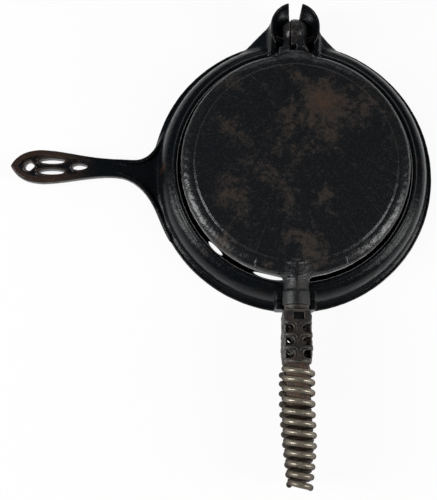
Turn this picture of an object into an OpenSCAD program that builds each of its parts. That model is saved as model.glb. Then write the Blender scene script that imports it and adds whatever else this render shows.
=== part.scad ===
// Stovetop waffle iron: two round plates on a ball hinge, carried in a low base ring.
// Origin: centre of the base ring on the stove. +Z up, -Y towards the coil grips,
// +Y towards the hinge, -X towards the side handle of the base.

/* [Plates] */
// Diameter of each waffle plate
plate_d = 190.5; // [170:0.5:194]
// Thickness of each plate, from the parting plane to its flat back
plate_t = 10; // [9:0.5:12]
// Height of the parting plane above the stove
joint_z = 33.5; // [32:0.5:38]
// Height of the straight rim of a plate
rim_h = 3; // [2:0.5:4]
// Width of the rounded shoulder between the stepped groove and the rim
band_w = 9.35; // [8:0.05:14]
// Width of the stepped groove
step_w = 1.4; // [1:0.1:2]
// Depth of the stepped groove
step_depth = 1.2; // [0.6:0.1:2]
// Gap left between the two plates when shut
part_gap = 0.2; // [0.1:0.1:0.6]

/* [Waffle pattern] */
// Width of the flat rim round the batter cavity
cavity_rim = 9.25; // [8.25:0.25:14]
// Depth of the batter cavity in each plate
cavity_depth = 6; // [5:0.5:6.5]
// Side of one square stud
stud_w = 7.6; // [6:0.2:9]
// Distance from one stud to the next
stud_pitch = 13; // [12:0.5:16]
// Clearance between the tops of facing studs
stud_gap = 2.4; // [1.6:0.2:4]
// Width of the cross ribs that part the waffle in four
rib_w = 4; // [3:0.5:6]
// Least wall between a stud and the rim of the cavity
stud_margin = 3; // [2:0.5:5]

/* [Base ring] */
// Width of the flared wall, from the lip out to the foot
flare_w = 17.9; // [15:0.1:28]
// Height of the lip of the ring
lip_h = 28.5; // [26:0.5:29]
// Radial gap between the lip and the plates
lip_gap = 3.5; // [3:0.1:5]
// Thickness of the ring's cast wall
wall = 4.5; // [3.5:0.5:5.5]
// Width of the bead round the foot
bead_w = 2.6; // [2:0.1:3.4]
// Height of the bead round the foot
bead_h = 3.4; // [2.6:0.1:4]
// Width of the hollow between the bead and the bell wall
hollow_w = 3.6; // [2:0.1:4.5]
// Height that the hollow climbs
hollow_h = 4.2; // [3:0.1:6]

/* [Ball hinge] */
// Distance of the ball's centre inside the foot of the ring
ball_in = 3.65; // [1.5:0.05:4.5]
// Radius of the ball that the two ears make
ball_r = 10.7; // [10:0.1:11.5]
// Clearance round the ball in its seat, and past the other plate's shoulder
ball_gap = 0.5; // [0.4:0.1:0.8]
// Offset of the split between the two ears from the middle
seam_x = -4.2; // [-5:0.1:-3]
// Width of the split between the two ears
seam_gap = 0.5; // [0.4:0.1:1]
// Diameter of the hinge pin
pin_d = 6; // [5:0.1:7]
// Length of the hinge pin
pin_len = 18; // [16:0.5:18.4]
// Running clearance round the hinge pin
pin_gap = 0.05; // [0.03:0.01:0.09]
// Half-width of the shoulder next to the plate
shoulder_w = 15.5; // [14.6:0.1:16]
// Half-width of the shoulder's end on the side of the upper half's ear
shoulder_left = 14.4; // [13:0.1:14.4]
// Half-width of the shoulder's end on the other side
shoulder_right = 12.4; // [11.5:0.1:14.4]
// How far the top of the shoulder falls towards the ears
shoulder_fall = 2.2; // [1:0.1:3]
// Half-width of the fillets where the shoulder leaves the plate
fillet_w = 19; // [17:0.5:22]
// Radius round the pin at which the ears leave the shoulders
ear_reach = 19.2; // [17:0.1:19.6]
// Half-width of the ears next to the shoulders
ear_w = 12.2; // [11:0.2:12.8]
// Half-width of the upper half's ear at its flared root
ear_root = 14.1; // [12.4:0.1:14.4]
// How far the ears lie below the end of the shoulders
ear_drop = 1; // [0.5:0.1:1.5]
// Width of the square notch in the ear beside the split
notch_w = 4.6; // [3:0.2:6]
// Length of the square notch in the ear beside the split
notch_l = 4.4; // [3:0.2:5]
// Outer radius of the hinge cup
cup_r = 20.9; // [20:0.1:22]
// Thickness of the hinge cup's wall at its rim
cup_wall = 1.8; // [1.5:0.1:2.6]
// Height of the hinge cup's rim
cup_h = 40; // [39:0.5:42]
// Distance of the cup's centre behind the ball's centre
cup_back = 3.7; // [2:0.1:4]
// Half-width of the slot in the back of the cup, at the ball
slot_in = 3; // [2.5:0.1:4.5]
// Half-width of the slot at the outside of the cup
slot_out = 6; // [5:0.2:8]
// How far the slot leans from the left in front to the right behind
slot_lean = 0.4; // [0:0.1:1]
// Height of the bottom of the slot
slot_z = 10; // [8:0.5:14]
// Distance that the gussets beside the cup reach along the ring
gusset_reach = 57; // [50:1:62]
// How much fuller the left gusset is than the right one
gusset_full = 4; // [0:0.1:5]

/* [Neck and front rest] */
// Radius of the round neck that the two halves make
neck_r = 10.5; // [10.2:0.1:10.8]
// Radius of the round head at the neck's end
head_r = 11.3; // [11:0.1:11.6]
// Length of the round head
head_l = 11.9; // [10:0.1:12.4]
// Distance of the neck's end inside the foot of the ring
neck_in = 2.15; // [1.4:0.05:4]
// Clearance between the neck and the rest
rest_gap = 0.6; // [0.4:0.1:0.8]
// Half-width over the cheeks of the rest
rest_w = 16.6; // [15:0.2:18]
// How far the cheeks' front face stands outside the foot of the ring
rest_out = 0.85; // [0.1:0.05:1.4]
// Length of the cheeks
rest_l = 14.5; // [13:0.1:17]
// Length of the front stage of the cheeks
rest_step = 5.8; // [4:0.1:8]
// How far the cheeks stay below the parting plane
rest_drop = 0.8; // [0.5:0.1:2]

/* [Shanks] */
// Length of the shank
shank_l = 47; // [46:0.1:50]
// Height of each grip's axis above or below the parting plane
grip_h = 14.5; // [14.2:0.1:16]
// Widest half-width of the shank
shank_w = 11.5; // [11.3:0.1:12.6]
// Radius of the shank's round outer end
shank_r = 10.6; // [10:0.1:11.4]
// Wall of the hollow shank
shank_wall = 3; // [2.5:0.1:3.5]
// Width of the air holes along the shank
hole_d = 6.4; // [5.4:0.1:6.8]
// Distance between the round inner ends of the two columns of air holes
hole_dx = 6.8; // [6.6:0.1:8]
// Distance over the square outer ends of the two columns of air holes
hole_over = 19.2; // [17:0.2:20]
// Diameter of the smaller round holes in the shank's inner face
vent_d = 4.4; // [3.6:0.1:5]
// Distance from one row of air holes to the next
hole_dy = 10.35; // [9.5:0.05:10.6]
// Distance of the first row of air holes from the neck's end
hole_first = 19.5; // [18.5:0.5:20]
// Width of the window over the tang
window_w = 8.6; // [7:0.2:9]
// Length of the window over the tang
window_l = 6.2; // [5:0.1:7.4]
// Distance of the window from the neck's end
window_at = 6.2; // [5.8:0.1:7]
// Distance of the window from the middle of the shank, to the right
window_in = 0.9; // [0:0.1:1]

/* [Tang and rivet] */
// Width of the tang that a plate carries
tang_w = 9.4; // [8:0.2:10]
// Thickness of the tang
tang_t = 5; // [4.4:0.1:5.4]
// Length of the tang
tang_l = 13; // [12.6:0.1:13.4]
// Clearance round the tang in its socket
tang_gap = 0.15; // [0.1:0.05:0.3]
// Diameter of the rivet through shank and tang
rivet_d = 3.6; // [3:0.1:4]
// Length of the rivet
rivet_len = 16; // [14:0.5:16.4]
// Distance of the rivet from the neck's end
rivet_at = 3.6; // [3:0.1:4]
// Clearance round the rivet
rivet_gap = 0.05; // [0.03:0.01:0.09]

/* [Grips] */
// Radius of the core that the coil is wound on
core_r = 8.7; // [8.6:0.1:8.9]
// Length of the core past the collar
core_len = 32; // [26:1:40]
// Length of the collar between shank and coil
collar_l = 1; // [0.8:0.1:1.4]
// Diameter of the threaded stud that holds the core
stud_d = 6; // [5:0.1:6.2]
// Length of the stud
stud_len = 10; // [8:0.5:11]
// Clearance round the stud
stud_clear = 0.05; // [0.03:0.01:0.09]
// Diameter of the coil's wire
wire_d = 4.9; // [4.5:0.1:5.2]
// Radius of the coil, to the middle of the wire
coil_r = 10.8; // [10.6:0.1:11]
// Radius of the coil at its closed tip
tip_r = 6.2; // [5.4:0.1:8]
// Advance of the coil in one turn
coil_pitch = 7.85; // [7.4:0.05:8.2]
// Number of turns of the coil
coil_turns = 11.5; // [9:0.25:12.5]
// Number of turns over which the tip draws in
tip_turns = 4.5; // [3:0.25:5]
// Angle of the coil's first point, from the right-hand side
coil_start = 225; // [180:45:270]
// Distance by which the coil's tip leans to the right
tip_lean = 2; // [0:0.1:2.4]

/* [Side handle] */
// Length of the handle outside the foot of the ring
handle_l = 120.65; // [105:0.05:140]
// Half-width of the handle at its widest
handle_w = 14.4; // [13:0.1:17]
// Half-width of the handle at its waist
waist_w = 7.9; // [7.5:0.1:10]
// Angle by which the handle is turned back from the -X axis
handle_turn = 0.3; // [0:0.1:1]
// Length of the handle's pointed tip
tip_l = 27; // [24:0.5:32]
// Distance of the hanging hole from the tip
hang_in = 16.2; // [15:0.1:18]
// Distance of the long eyes from the tip
eye_in = 35.2; // [33:0.1:38]
// Distance of the drop-shaped eye from the tip
drop_in = 58.9; // [57:0.1:64]
// Height of the handle's upper face
handle_top = 15; // [14:0.5:18]
// Height of the handle's lower face
handle_low = 6; // [4:0.5:8]
// Width of the raised border round the handle
border_w = 5.2; // [4:0.2:6]
// Depth of the field inside the border
field_depth = 1.8; // [1:0.1:2.5]
// Diameter of the hanging hole
hang_d = 9; // [7:0.2:10]
// Length of each of the two long eyes
eye_l = 22; // [18:1:24]
// Width of each of the two long eyes
eye_w = 4.8; // [4:0.1:5.4]
// Distance between the two long eyes
eye_gap = 9.4; // [9:0.1:10.4]

/* [Hidden] */

iron_black = [0.10, 0.10, 0.11];
plate_black = [0.15, 0.15, 0.15];
worn_steel = [0.42, 0.38, 0.33];
rust_brown = [0.33, 0.22, 0.15];
coil_steel = [0.58, 0.54, 0.47];

fine = 120;
eps = 0.01;
plate_r = plate_d / 2;
step_r = plate_r - band_w - step_w;
cavity_r = plate_r - cavity_rim;
lip_r = plate_r + lip_gap;
lip_t = wall - 0.5;
lip_out = lip_r + lip_t;
base_r = lip_out + flare_w;
ball_y = base_r - ball_in;
neck_end = base_r - neck_in;
rest_front = base_r + rest_out;
shank_end = neck_end + shank_l;
handle_reach = base_r + handle_l;
cup_y = ball_y + cup_back;
cheek_top = joint_z - rest_drop;
neck_mid = head_r / 2;
pin_r = pin_d / 2;
wire_r = wire_d / 2;
shoulder_r = shoulder_w - 0.3;
trough_r = shoulder_r + 1;
coil_face = shank_end + collar_l;

// A cubic curve between a and d, with its handles at b and c.
function curve(a, b, c, d, n) = [
    for (i = [0:n])
        let (t = i / n, s = 1 - t)
        s * s * s * a + 3 * s * s * t * b + 3 * s * t * t * c + t * t * t * d
];

// A quarter of an ellipse round centre c, from angle a0 to angle a1.
function arc(c, rx, ry, a0, a1, n) = [
    for (i = [0:n])
        let (a = a0 + (a1 - a0) * i / n)
        c + [rx * cos(a), ry * sin(a)]
];

function mirrored(points) = [
    for (i = [len(points) - 1:-1:0]) [points[i][0], -points[i][1]]
];

// ---- base ring ----

bell_r = base_r - bead_w - hollow_w;
bell_z = bead_h + hollow_h;

function ring_outside() = concat(
    [[0, 0]],
    [[base_r, 0]],
    arc([base_r - bead_w / 2, bead_h - bead_w / 2], bead_w / 2, bead_w / 2, 0, 180, 8),
    arc([base_r - bead_w, bead_h + hollow_h], hollow_w, hollow_h, 270, 180, 5),
    arc([lip_out, bell_z], bell_r - lip_out, lip_h - bell_z - lip_t / 2, 4, 84, 10),
    arc([lip_r + lip_t / 2, lip_h - lip_t / 2], lip_t / 2, lip_t / 2, 20, 90, 4),
    [[0, lip_h]]
);

function ring_inside() = concat(
    [[0, -1]],
    [[base_r - bead_w - wall + 1, -1]],
    [[bell_r - wall + 1, bell_z - 2]],
    arc([lip_r, bell_z - 2], bell_r - lip_r - wall, lip_h - bell_z - 2, 0, 84, 8),
    [[lip_r, lip_h - 2]],
    arc([lip_r + lip_t / 2, lip_h - lip_t / 2], lip_t / 2, lip_t / 2, 180, 90, 4),
    [[lip_r + lip_t / 2, cup_h + 10]],
    [[0, cup_h + 10]]
);

module ring_solid() {
    rotate_extrude($fn = fine) polygon(ring_outside());
}

module ring_room() {
    rotate_extrude($fn = fine) polygon(ring_inside());
}

// Plan of the hinge cup: round behind, open towards the plates.
module cup_plan(r) {
    translate([0, cup_y]) circle(r, $fn = fine);
    translate([-r, lip_r - 8]) square([2 * r, cup_y - lip_r + 8]);
}

// Side view of the cup, with its rim falling towards the lip of the ring.
module cup_side() {
    polygon([
        [lip_r - 8, 0],
        [base_r - 2, 0],
        [base_r + 7, 6],
        [cup_y + cup_r, 18],
        [cup_y + cup_r, cup_h],
        [ball_y - 6, cup_h],
        [lip_r + 1, lip_h + 3],
        [lip_r - 8, lip_h + 3]
    ]);
}

module cup_solid() {
    intersection() {
        linear_extrude(cup_h) cup_plan(cup_r);
        rotate([90, 0, 90])
            translate([0, 0, -2 * cup_r]) linear_extrude(4 * cup_r) cup_side();
    }
}

// The wall of the ring drawn out on each side to meet the cup.
module gussets() {
    start = [-gusset_reach, sqrt(pow(base_r - bead_w * 0.4, 2) - pow(gusset_reach, 2))];
    for (side = [0, 1]) mirror([side, 0, 0])
        let (
            full = gusset_full * (1 - side),
            bend = [-cup_r - 12 - full, base_r - 9 + full],
            finish = [1 - cup_r, cup_y + 1 + full]
        )
        intersection() {
            linear_extrude(lip_h) polygon(concat(
                curve(start, start + [14, -1], bend, finish, 8),
                [[-cup_r + 1, lip_r + 2], [-gusset_reach, lip_r - 12]]
            ));
            rotate([90, 0, 0]) translate([0, 0, -2 * base_r]) linear_extrude(4 * base_r)
                polygon([
                    [-gusset_reach - 2, 0],
                    [0, 0],
                    [0, lip_h],
                    [-cup_r, lip_h],
                    [-gusset_reach - 2, bead_h * 0.7]
                ]);
        }
}

// Seat of the ball, open towards the plates, in a bowl that widens to the rim, with a
// slot behind.
bowl_z = joint_z - 4;

module cup_room() {
    translate([0, ball_y, joint_z]) sphere(ball_r + ball_gap, $fn = fine);
    hull() {
        translate([0, ball_y, bowl_z]) cylinder(h = eps, r = ball_r, $fn = fine);
        translate([0, 0, cup_h]) linear_extrude(eps) cup_plan(cup_r - cup_wall);
    }
    translate([0, 0, cup_h]) linear_extrude(cup_h) cup_plan(cup_r - cup_wall);
    translate([0, lip_r - 12, joint_z]) rotate([-90, 0, 0])
        cylinder(h = ball_y - 4 - lip_r + 12, r = trough_r, $fn = fine);
    translate([0, 0, slot_z]) linear_extrude(cup_h) polygon([
        [-slot_in - slot_lean, ball_y + 4],
        [slot_in - slot_lean, ball_y + 4],
        [slot_out + slot_lean, cup_y + cup_r + 1],
        [slot_lean - slot_out, cup_y + cup_r + 1]
    ]);
}

// Cheeks that hold the neck at the front of the ring.
module rest_solid() {
    difference() {
        translate([-rest_w, -rest_front, bell_z])
            cube([2 * rest_w, rest_l, cheek_top - bell_z]);
        translate([-rest_w - 1, -rest_front + rest_step, cheek_top - 3.5])
            cube([2 * rest_w + 2, 1.8, 4]);
    }
}

module rest_room() {
    translate([0, -lip_r + 12, joint_z]) rotate([90, 0, 0])
        cylinder(h = rest_front - lip_r + 14, r = head_r + rest_gap, $fn = fine);
}

// ---- side handle of the base ----

grip_at = handle_reach - tip_l;
eye_at = handle_reach - eye_in;
hang_at = handle_reach - hang_in;
drop_at = handle_reach - drop_in;
root_x = base_r - 12.65;
waist_at = root_x + 44;
field_at = root_x + 60;

// One edge of the handle in plan, from its waist to its pointed tip, drawn in by inset.
function grip_edge(inset) = concat(
    curve(
        [inset > 0 ? field_at : waist_at, waist_w - inset],
        [grip_at - 40, waist_w - 0.6 - inset],
        [grip_at - 22, handle_w - 0.8 - inset],
        [grip_at, handle_w - inset],
        10
    ),
    curve(
        [grip_at + 1, handle_w - inset],
        [grip_at + tip_l * 0.48, handle_w - inset],
        [handle_reach - inset - 4.5, handle_w * 0.67 - inset * 0.7],
        [handle_reach - inset, 0],
        10
    )
);

// The edge springs from the ring in a tight curve at the back and a wide one in front.
function back_root() = curve(
    [root_x, 46], [root_x + 8, 28], [root_x + 11, waist_w + 0.3], [root_x + 30, waist_w], 8
);
function front_root() = curve(
    [sqrt(base_r * base_r - 3600) - 0.5, 60], [root_x + 8.9, 39.6], [root_x + 16, waist_w + 0.3],
    [waist_at, waist_w], 8
);

function handle_outline(inset) = concat(
    inset > 0 ? [] : back_root(),
    grip_edge(inset),
    mirrored(concat(inset > 0 ? [] : front_root(), grip_edge(inset)))
);

// Side view of the handle: it springs from the bell wall and runs out level.
function handle_side() = concat(
    [[root_x - 6, 0], [base_r - 2, 0]],
    curve([base_r + 6, 1], [base_r + 16, 2], [base_r + 22, handle_low], [base_r + 40, handle_low], 6),
    [[handle_reach + 1, handle_low]],
    [[handle_reach + 1, handle_top]],
    [[base_r + 45, handle_top]],
    curve([base_r + 34, handle_top - 0.6], [base_r + 18, handle_top - 2], [base_r + 8, 9.5], [base_r - 4, 9], 6),
    [[root_x - 6, 12]]
);

// Half of a drop, round at one end and drawn to a point at the other.
function drop(l, w) = curve([0, 0], [0, w * 0.66], [l * 0.55, w * 0.62], [l, 0], 10);

module long_eye() {
    polygon([
        for (i = [0:23]) [eye_l / 2 * cos(15 * i), eye_w / 2 * sin(15 * i)]
    ]);
}

module drop_eye() {
    edge = drop(13.5, 5.6);
    polygon(concat(edge, mirrored(edge)));
}

module handle_holes() {
    translate([hang_at, 0]) circle(d = hang_d, $fn = 48);
    for (side = [-1, 1]) translate([eye_at, side * eye_gap / 2]) long_eye();
    translate([drop_at + 6.5, 0]) mirror([1, 0]) drop_eye();
}

module side_handle() {
    rotate([0, 0, -handle_turn]) mirror([1, 0, 0]) intersection() {
        linear_extrude(handle_top + 1) polygon(handle_outline(0));
        rotate([90, 0, 0]) translate([0, 0, -60]) linear_extrude(120) polygon(handle_side());
    }
}

module handle_room() {
    rotate([0, 0, -handle_turn]) mirror([1, 0, 0]) {
        translate([0, 0, -1]) linear_extrude(handle_top + 4) handle_holes();
        translate([0, 0, handle_top - field_depth]) linear_extrude(field_depth + 4) difference() {
            polygon(handle_outline(border_w));
            translate([eye_at - 12, -1]) square([20, 2]);
        }
    }
}

module base() {
    color(iron_black) difference() {
        union() {
            ring_solid();
            cup_solid();
            gussets();
            rest_solid();
            side_handle();
        }
        ring_room();
        cup_room();
        rest_room();
        handle_room();
    }
}

// ---- plates ----

// Profile of one plate above the parting plane.
function plate_profile() = concat(
    [[0, part_gap / 2]],
    [[plate_r, part_gap / 2]],
    arc(
        [step_r + step_w, rim_h],
        plate_r - step_r - step_w,
        plate_t - step_depth - rim_h,
        0, 90, 8
    ),
    [[step_r, plate_t - step_depth]],
    [[step_r - step_w / 2, plate_t]],
    [[0, plate_t]]
);

// Studs of one quarter, counted out from the cross ribs.
module studs() {
    first = rib_w / 2 + stud_pitch - stud_w / 2;
    reach = cavity_r - stud_margin;
    steps = floor(reach / stud_pitch);
    for (i = [0:steps], j = [0:steps])
        let (
            x = first + i * stud_pitch,
            y = first + j * stud_pitch,
            far = norm([x + stud_w / 2, y + stud_w / 2])
        )
        if (far < reach)
            for (sx = [-1, 1], sy = [-1, 1])
                translate([sx * x - stud_w / 2, sy * y - stud_w / 2]) square(stud_w);
}

module cavity() {
    translate([0, 0, -1]) linear_extrude(cavity_depth + 1) difference() {
        circle(cavity_r, $fn = fine);
        studs();
        square([rib_w, 3 * cavity_r], center = true);
        square([3 * cavity_r, rib_w], center = true);
    }
    translate([0, 0, -1]) linear_extrude(stud_gap / 2 + 1) circle(cavity_r, $fn = fine);
}

// Raised pad where the front neck springs from the rim.
module front_pad() {
    pad_out = plate_r - 1;
    intersection() {
        difference() {
            cylinder(h = plate_t - step_depth + 0.3, r = pad_out, $fn = fine);
            translate([0, 0, -1]) cylinder(h = plate_t + 2, r = step_r + step_w, $fn = fine);
        }
        translate([0, 0, rim_h - 1]) linear_extrude(plate_t) polygon([
            [0, 0],
            [-plate_r * tan(21.5), -plate_r * 1.05],
            [plate_r * tan(26), -plate_r * 1.05]
        ]);
    }
}

// Half-round neck, flared at the plate, and the tang beyond it.
module neck() {
    intersection() {
        union() {
            translate([0, -plate_r + 8, 0]) rotate([90, 0, 0])
                cylinder(h = neck_end - plate_r + 8, r = neck_r, $fn = fine);
            translate([0, -plate_r + 8, 0]) rotate([90, 0, 0])
                cylinder(h = 10, r1 = neck_r + 3.2, r2 = neck_r, $fn = fine);
            translate([0, -neck_end + head_l, 0]) rotate([90, 0, 0])
                cylinder(h = head_l, r = head_r, $fn = fine);
        }
        translate([-plate_r, -neck_end - 1, part_gap / 2]) cube([2 * plate_r, neck_end, head_r]);
    }
    tang(0);
}

// Frame of the sloping shank: its middle line starts at the neck's end.
slope = atan((grip_h - neck_mid) / (shank_end - neck_end));

module at_tang() {
    translate([0, -neck_end, neck_mid]) rotate([-slope, 0, 0]) children();
}

module tang(gap) {
    at_tang() translate([-tang_w / 2 - gap, -tang_l - gap, -tang_t / 2 - gap])
        cube([tang_w + 2 * gap, tang_l + gap + 2, tang_t + 2 * gap]);
}

module rivet_bar(gap, l) {
    at_tang() translate([-l / 2, -rivet_at, 0]) rotate([0, 90, 0])
        cylinder(h = l, d = rivet_d + 2 * gap, $fn = 48);
}

// Shoulder and ear of one plate; the ear fills the ball from x = low to x = high.
shoulder_t = plate_t - step_depth + 0.4;
end_t = shoulder_t - shoulder_fall;
shoulder_start = step_r + 4;
shoulder_end = ball_y - ear_reach;

// A box that spans the ear from side to side, between two distances and two heights.
module ear_span(low, high, y0, y1, z0, z1) {
    translate([low, y0, z0]) cube([high - low, y1 - y0, z1 - z0]);
}

module shoulder() {
    intersection() {
        translate([0, 0, part_gap / 2]) linear_extrude(shoulder_t - part_gap / 2) polygon([
            [-shoulder_w, shoulder_start],
            [shoulder_w, shoulder_start],
            [shoulder_w, plate_r],
            [shoulder_right, shoulder_end + 1.5],
            [shoulder_right - 1.6, shoulder_end + 4],
            [1.6 - shoulder_left, shoulder_end + 4],
            [-shoulder_left, shoulder_end + 1.5],
            [-shoulder_w, plate_r]
        ]);
        rotate([-90, 0, 0]) cylinder(h = ball_y, r = shoulder_r, $fn = fine);
        rotate([90, 0, 90]) translate([0, 0, -2 * shoulder_w]) linear_extrude(4 * shoulder_w) polygon([
            [shoulder_start - 1, 0],
            [ball_y, 0],
            [ball_y, end_t],
            [shoulder_end, end_t],
            [shoulder_start, shoulder_t],
            [shoulder_start - 1, shoulder_t]
        ]);
    }
    translate([0, 0, part_gap / 2]) linear_extrude(rim_h + 2) polygon([
        [-fillet_w, plate_r - 8],
        [fillet_w, plate_r - 8],
        [fillet_w - 1, plate_r - 3],
        [shoulder_w - 0.8, plate_r + 1],
        [0.8 - shoulder_w, plate_r + 1],
        [1 - fillet_w, plate_r - 3]
    ]);
}

// Barrel that joins the ball to the shoulder, round about both the pin and the neck's axis.
module ear_barrel(root) {
    intersection() {
        translate([0, ball_y - ear_reach, 0]) rotate([-90, 0, 0])
            cylinder(h = ear_reach - ball_r / 2, r1 = root, r2 = ball_r * 0.87, $fn = fine);
        translate([-2 * ball_r, ball_y, 0]) rotate([0, 90, 0])
            cylinder(h = 4 * ball_r, r = ear_reach, $fn = fine);
    }
}

module hinge_ear(low, high, root, notch) {
    difference() {
        shoulder();
        translate([-2 * shoulder_w, ball_y, 0]) rotate([0, 90, 0])
            cylinder(h = 4 * shoulder_w, r = ear_reach + ball_gap, $fn = fine);
    }
    difference() {
        union() {
            intersection() {
                translate([0, ball_y, 0]) sphere(ball_r, $fn = fine);
                ear_span(low, high, 0, 2 * ball_y, -ball_r - 1, ball_r + 1);
            }
            intersection() {
                ear_barrel(root);
                ear_span(low, high, 0, ball_y, ear_drop - end_t, end_t - ear_drop);
            }
            intersection() {
                translate([0, plate_r, 0]) rotate([-90, 0, 0])
                    cylinder(h = ear_reach / 2, r = ear_w, $fn = fine);
                ear_span(
                    low, high, plate_r, shoulder_end + 3,
                    part_gap / 2, end_t - ear_drop
                );
            }
        }
        translate([low - 1, ball_y, 0]) rotate([0, 90, 0])
            cylinder(h = high - low + 2, r = pin_r + pin_gap, $fn = 96);
        if (notch > 0)
            ear_span(
                high - notch, high + 1, shoulder_end - 1, shoulder_end + notch_l,
                -plate_t, -part_gap
            );
    }
}

// One half of the iron above the parting plane.
module plate_half(low, high, root, notch) {
    difference() {
        union() {
            rotate_extrude($fn = fine) polygon(plate_profile());
            front_pad();
            neck();
            hinge_ear(low, high, root, notch);
        }
        cavity();
        rivet_bar(rivet_gap, 4 * tang_w);
    }
}

module in_place(below) {
    translate([0, 0, joint_z]) rotate([0, below ? 180 : 0, 0]) children();
}

module upper_plate() {
    color(plate_black) in_place(false) plate_half(-2 * ball_r, seam_x - seam_gap / 2, ear_root, 0);
}

// The lower half is the upper one turned over about the Y axis.
module lower_plate() {
    color(plate_black) in_place(true) plate_half(-2 * ball_r, -seam_x - seam_gap / 2, ear_w, notch_w);
}

module hinge_pin() {
    color(worn_steel) translate([-pin_len / 2, ball_y, joint_z]) rotate([0, 90, 0])
        cylinder(h = pin_len, r = pin_r, $fn = 96);
}

// ---- shanks ----

// Cross-section slab of the shank at distance y, from height z0 to z1.
module slab(y, w, z0, z1, t) {
    corner = min(w, (z1 - z0) / 2) - 0.2;
    translate([0, -y, 0]) rotate([90, 0, 0]) linear_extrude(t) {
        for (sx = [-1, 1], z = [z0 + corner, z1 - corner])
            translate([sx * (w - corner), z]) circle(corner, $fn = 32);
    }
}

function shank_mid(y) = neck_mid + (grip_h - neck_mid) * (y - neck_end) / (shank_end - neck_end);
function shank_half(y) =
    neck_mid - 0.4 + (shank_r - neck_mid + 0.4) * (y - neck_end) / (shank_end - neck_end);

module shank_slab(y, w, t, inset) {
    slab(
        y, w - inset,
        shank_mid(y) - shank_half(y) + inset,
        shank_mid(y) + shank_half(y) - inset,
        t
    );
}

// The tapered cage: half round like the neck where it passes the cheeks, then flat, and
// round where it takes the core.
cage_start = rest_front + 0.9;

module shank_cage() {
    intersection() {
        translate([0, -neck_end, 0]) rotate([90, 0, 0])
            cylinder(h = cage_start - neck_end + 0.5, r = neck_r, $fn = fine);
        translate([-neck_r, -cage_start - 1, 0.4]) cube([2 * neck_r, 10, 2 * neck_r]);
    }
    hull() {
        shank_slab(cage_start, neck_r - 0.2, 0.1, 0);
        shank_slab(cage_start + 5, shank_w, 0.1, 0);
        shank_slab(shank_end - 7, shank_w, 0.1, 0);
        translate([0, -shank_end + 0.1, grip_h]) rotate([90, 0, 0])
            cylinder(h = 0.1, r = shank_r, $fn = 48);
    }
}

module shank_room() {
    from = neck_end + tang_l + 2.4;
    to = shank_end - stud_len - 3.5;
    hull() {
        shank_slab(from, shank_w, 0.1, shank_wall);
        shank_slab(to, shank_w, 0.1, shank_wall);
    }
}

// Hole with a round inner end and a square outer end in the outer face, and a smaller
// round hole in the inner face.
module air_hole() {
    reach = (hole_over - hole_dx) / 2;
    translate([hole_d / 2, 0, -grip_h]) cylinder(h = 2 * grip_h, d = vent_d, $fn = 48);
    translate([hole_d / 2, 0, 0]) cylinder(h = 2 * grip_h, d = hole_d, $fn = 48);
    translate([hole_d / 2, -hole_d / 2, 0]) cube([reach - hole_d / 2, hole_d, 2 * grip_h]);
}

module shank() {
    difference() {
        shank_cage();
        shank_room();
        tang(tang_gap);
        rivet_bar(rivet_gap, 4 * shank_w);
        for (i = [0:2], side = [0, 1]) mirror([side, 0, 0])
            let (y = neck_end + hole_first + i * hole_dy)
            translate([hole_dx / 2, -y, shank_mid(y)]) air_hole();
        translate([window_in - window_w / 2, -neck_end - window_at - window_l, neck_mid])
            cube([window_w, window_l, 20]);
        translate([0, -shank_end - 1, grip_h]) rotate([-90, 0, 0])
            cylinder(h = stud_len + 1.5, d = stud_d + 2 * stud_clear, $fn = 48);
    }
}

module upper_shank() {
    color(worn_steel) in_place(false) shank();
}

module lower_shank() {
    color(worn_steel) in_place(true) shank();
}

module upper_rivet() {
    color(worn_steel) in_place(false) rivet_bar(0, rivet_len);
}

module lower_rivet() {
    color(worn_steel) in_place(true) rivet_bar(0, rivet_len);
}

// ---- grips ----

module core() {
    translate([0, 0, grip_h]) rotate([90, 0, 0]) rotate_extrude($fn = fine) polygon([
        [0, shank_end - stud_len],
        [stud_d / 2 - 0.6, shank_end - stud_len],
        [stud_d / 2, shank_end - stud_len + 0.8],
        [stud_d / 2, shank_end + 0.05],
        [shank_r - 0.2, shank_end + 0.05],
        [shank_r - 0.9, coil_face],
        [core_r, coil_face + 0.4],
        [core_r, coil_face + core_len - 2],
        [core_r - 2, coil_face + core_len],
        [0, coil_face + core_len]
    ]);
}

module upper_core() {
    color(rust_brown) in_place(false) core();
}

module lower_core() {
    color(rust_brown) in_place(true) core();
}

rings_per_turn = 8;
tube_sides = 6;
coil_steps = round(coil_turns * rings_per_turn);
coil_y0 = coil_face + wire_r + 0.15;

// Radius of the coil after u turns: even, then drawn in over the last turns.
function coil_rad(u) =
    let (s = max(0, (u - coil_turns + tip_turns) / tip_turns))
    coil_r - (coil_r - tip_r) * s;

// Point of the wire's middle after u turns. The axis moves to the given side on the way.
function coil_point(u, side) =
    let (
        a = coil_start - 360 * u,
        r = coil_rad(u),
        t = min(1, max(0, (u / coil_turns - 0.28) / 0.47)),
        lean = side * tip_lean * t * t * (3 - 2 * t)
    )
    [lean + r * cos(a), -coil_y0 - coil_pitch * u, grip_h + r * sin(a)];

function coil_path(side) =
    let (
        last = coil_steps / rings_per_turn,
        e = coil_point(last, side),
        b = coil_point(last - 0.1, side)
    )
    concat(
        [for (i = [0:coil_steps]) coil_point(i / rings_per_turn, side)],
        [e + wire_d * (e - b) / norm(e - b)]
    );

function unit(v) = v / norm(v);
function along(p, i) = unit(p[min(i + 1, len(p) - 1)] - p[max(i - 1, 0)]);

// Rings of the tube: each lies square to the path, turned towards the coil's axis.
function tube_points(p, r) = [
    for (i = [0:len(p) - 1])
        let (
            t = along(p, i),
            radial = [p[i][0], 0, p[i][2] - grip_h],
            out = unit(radial - (radial * t) * t),
            side = cross(t, out)
        )
        for (k = [0:tube_sides - 1])
            p[i] + r * (cos(60 * k) * out + sin(60 * k) * side)
];

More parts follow.
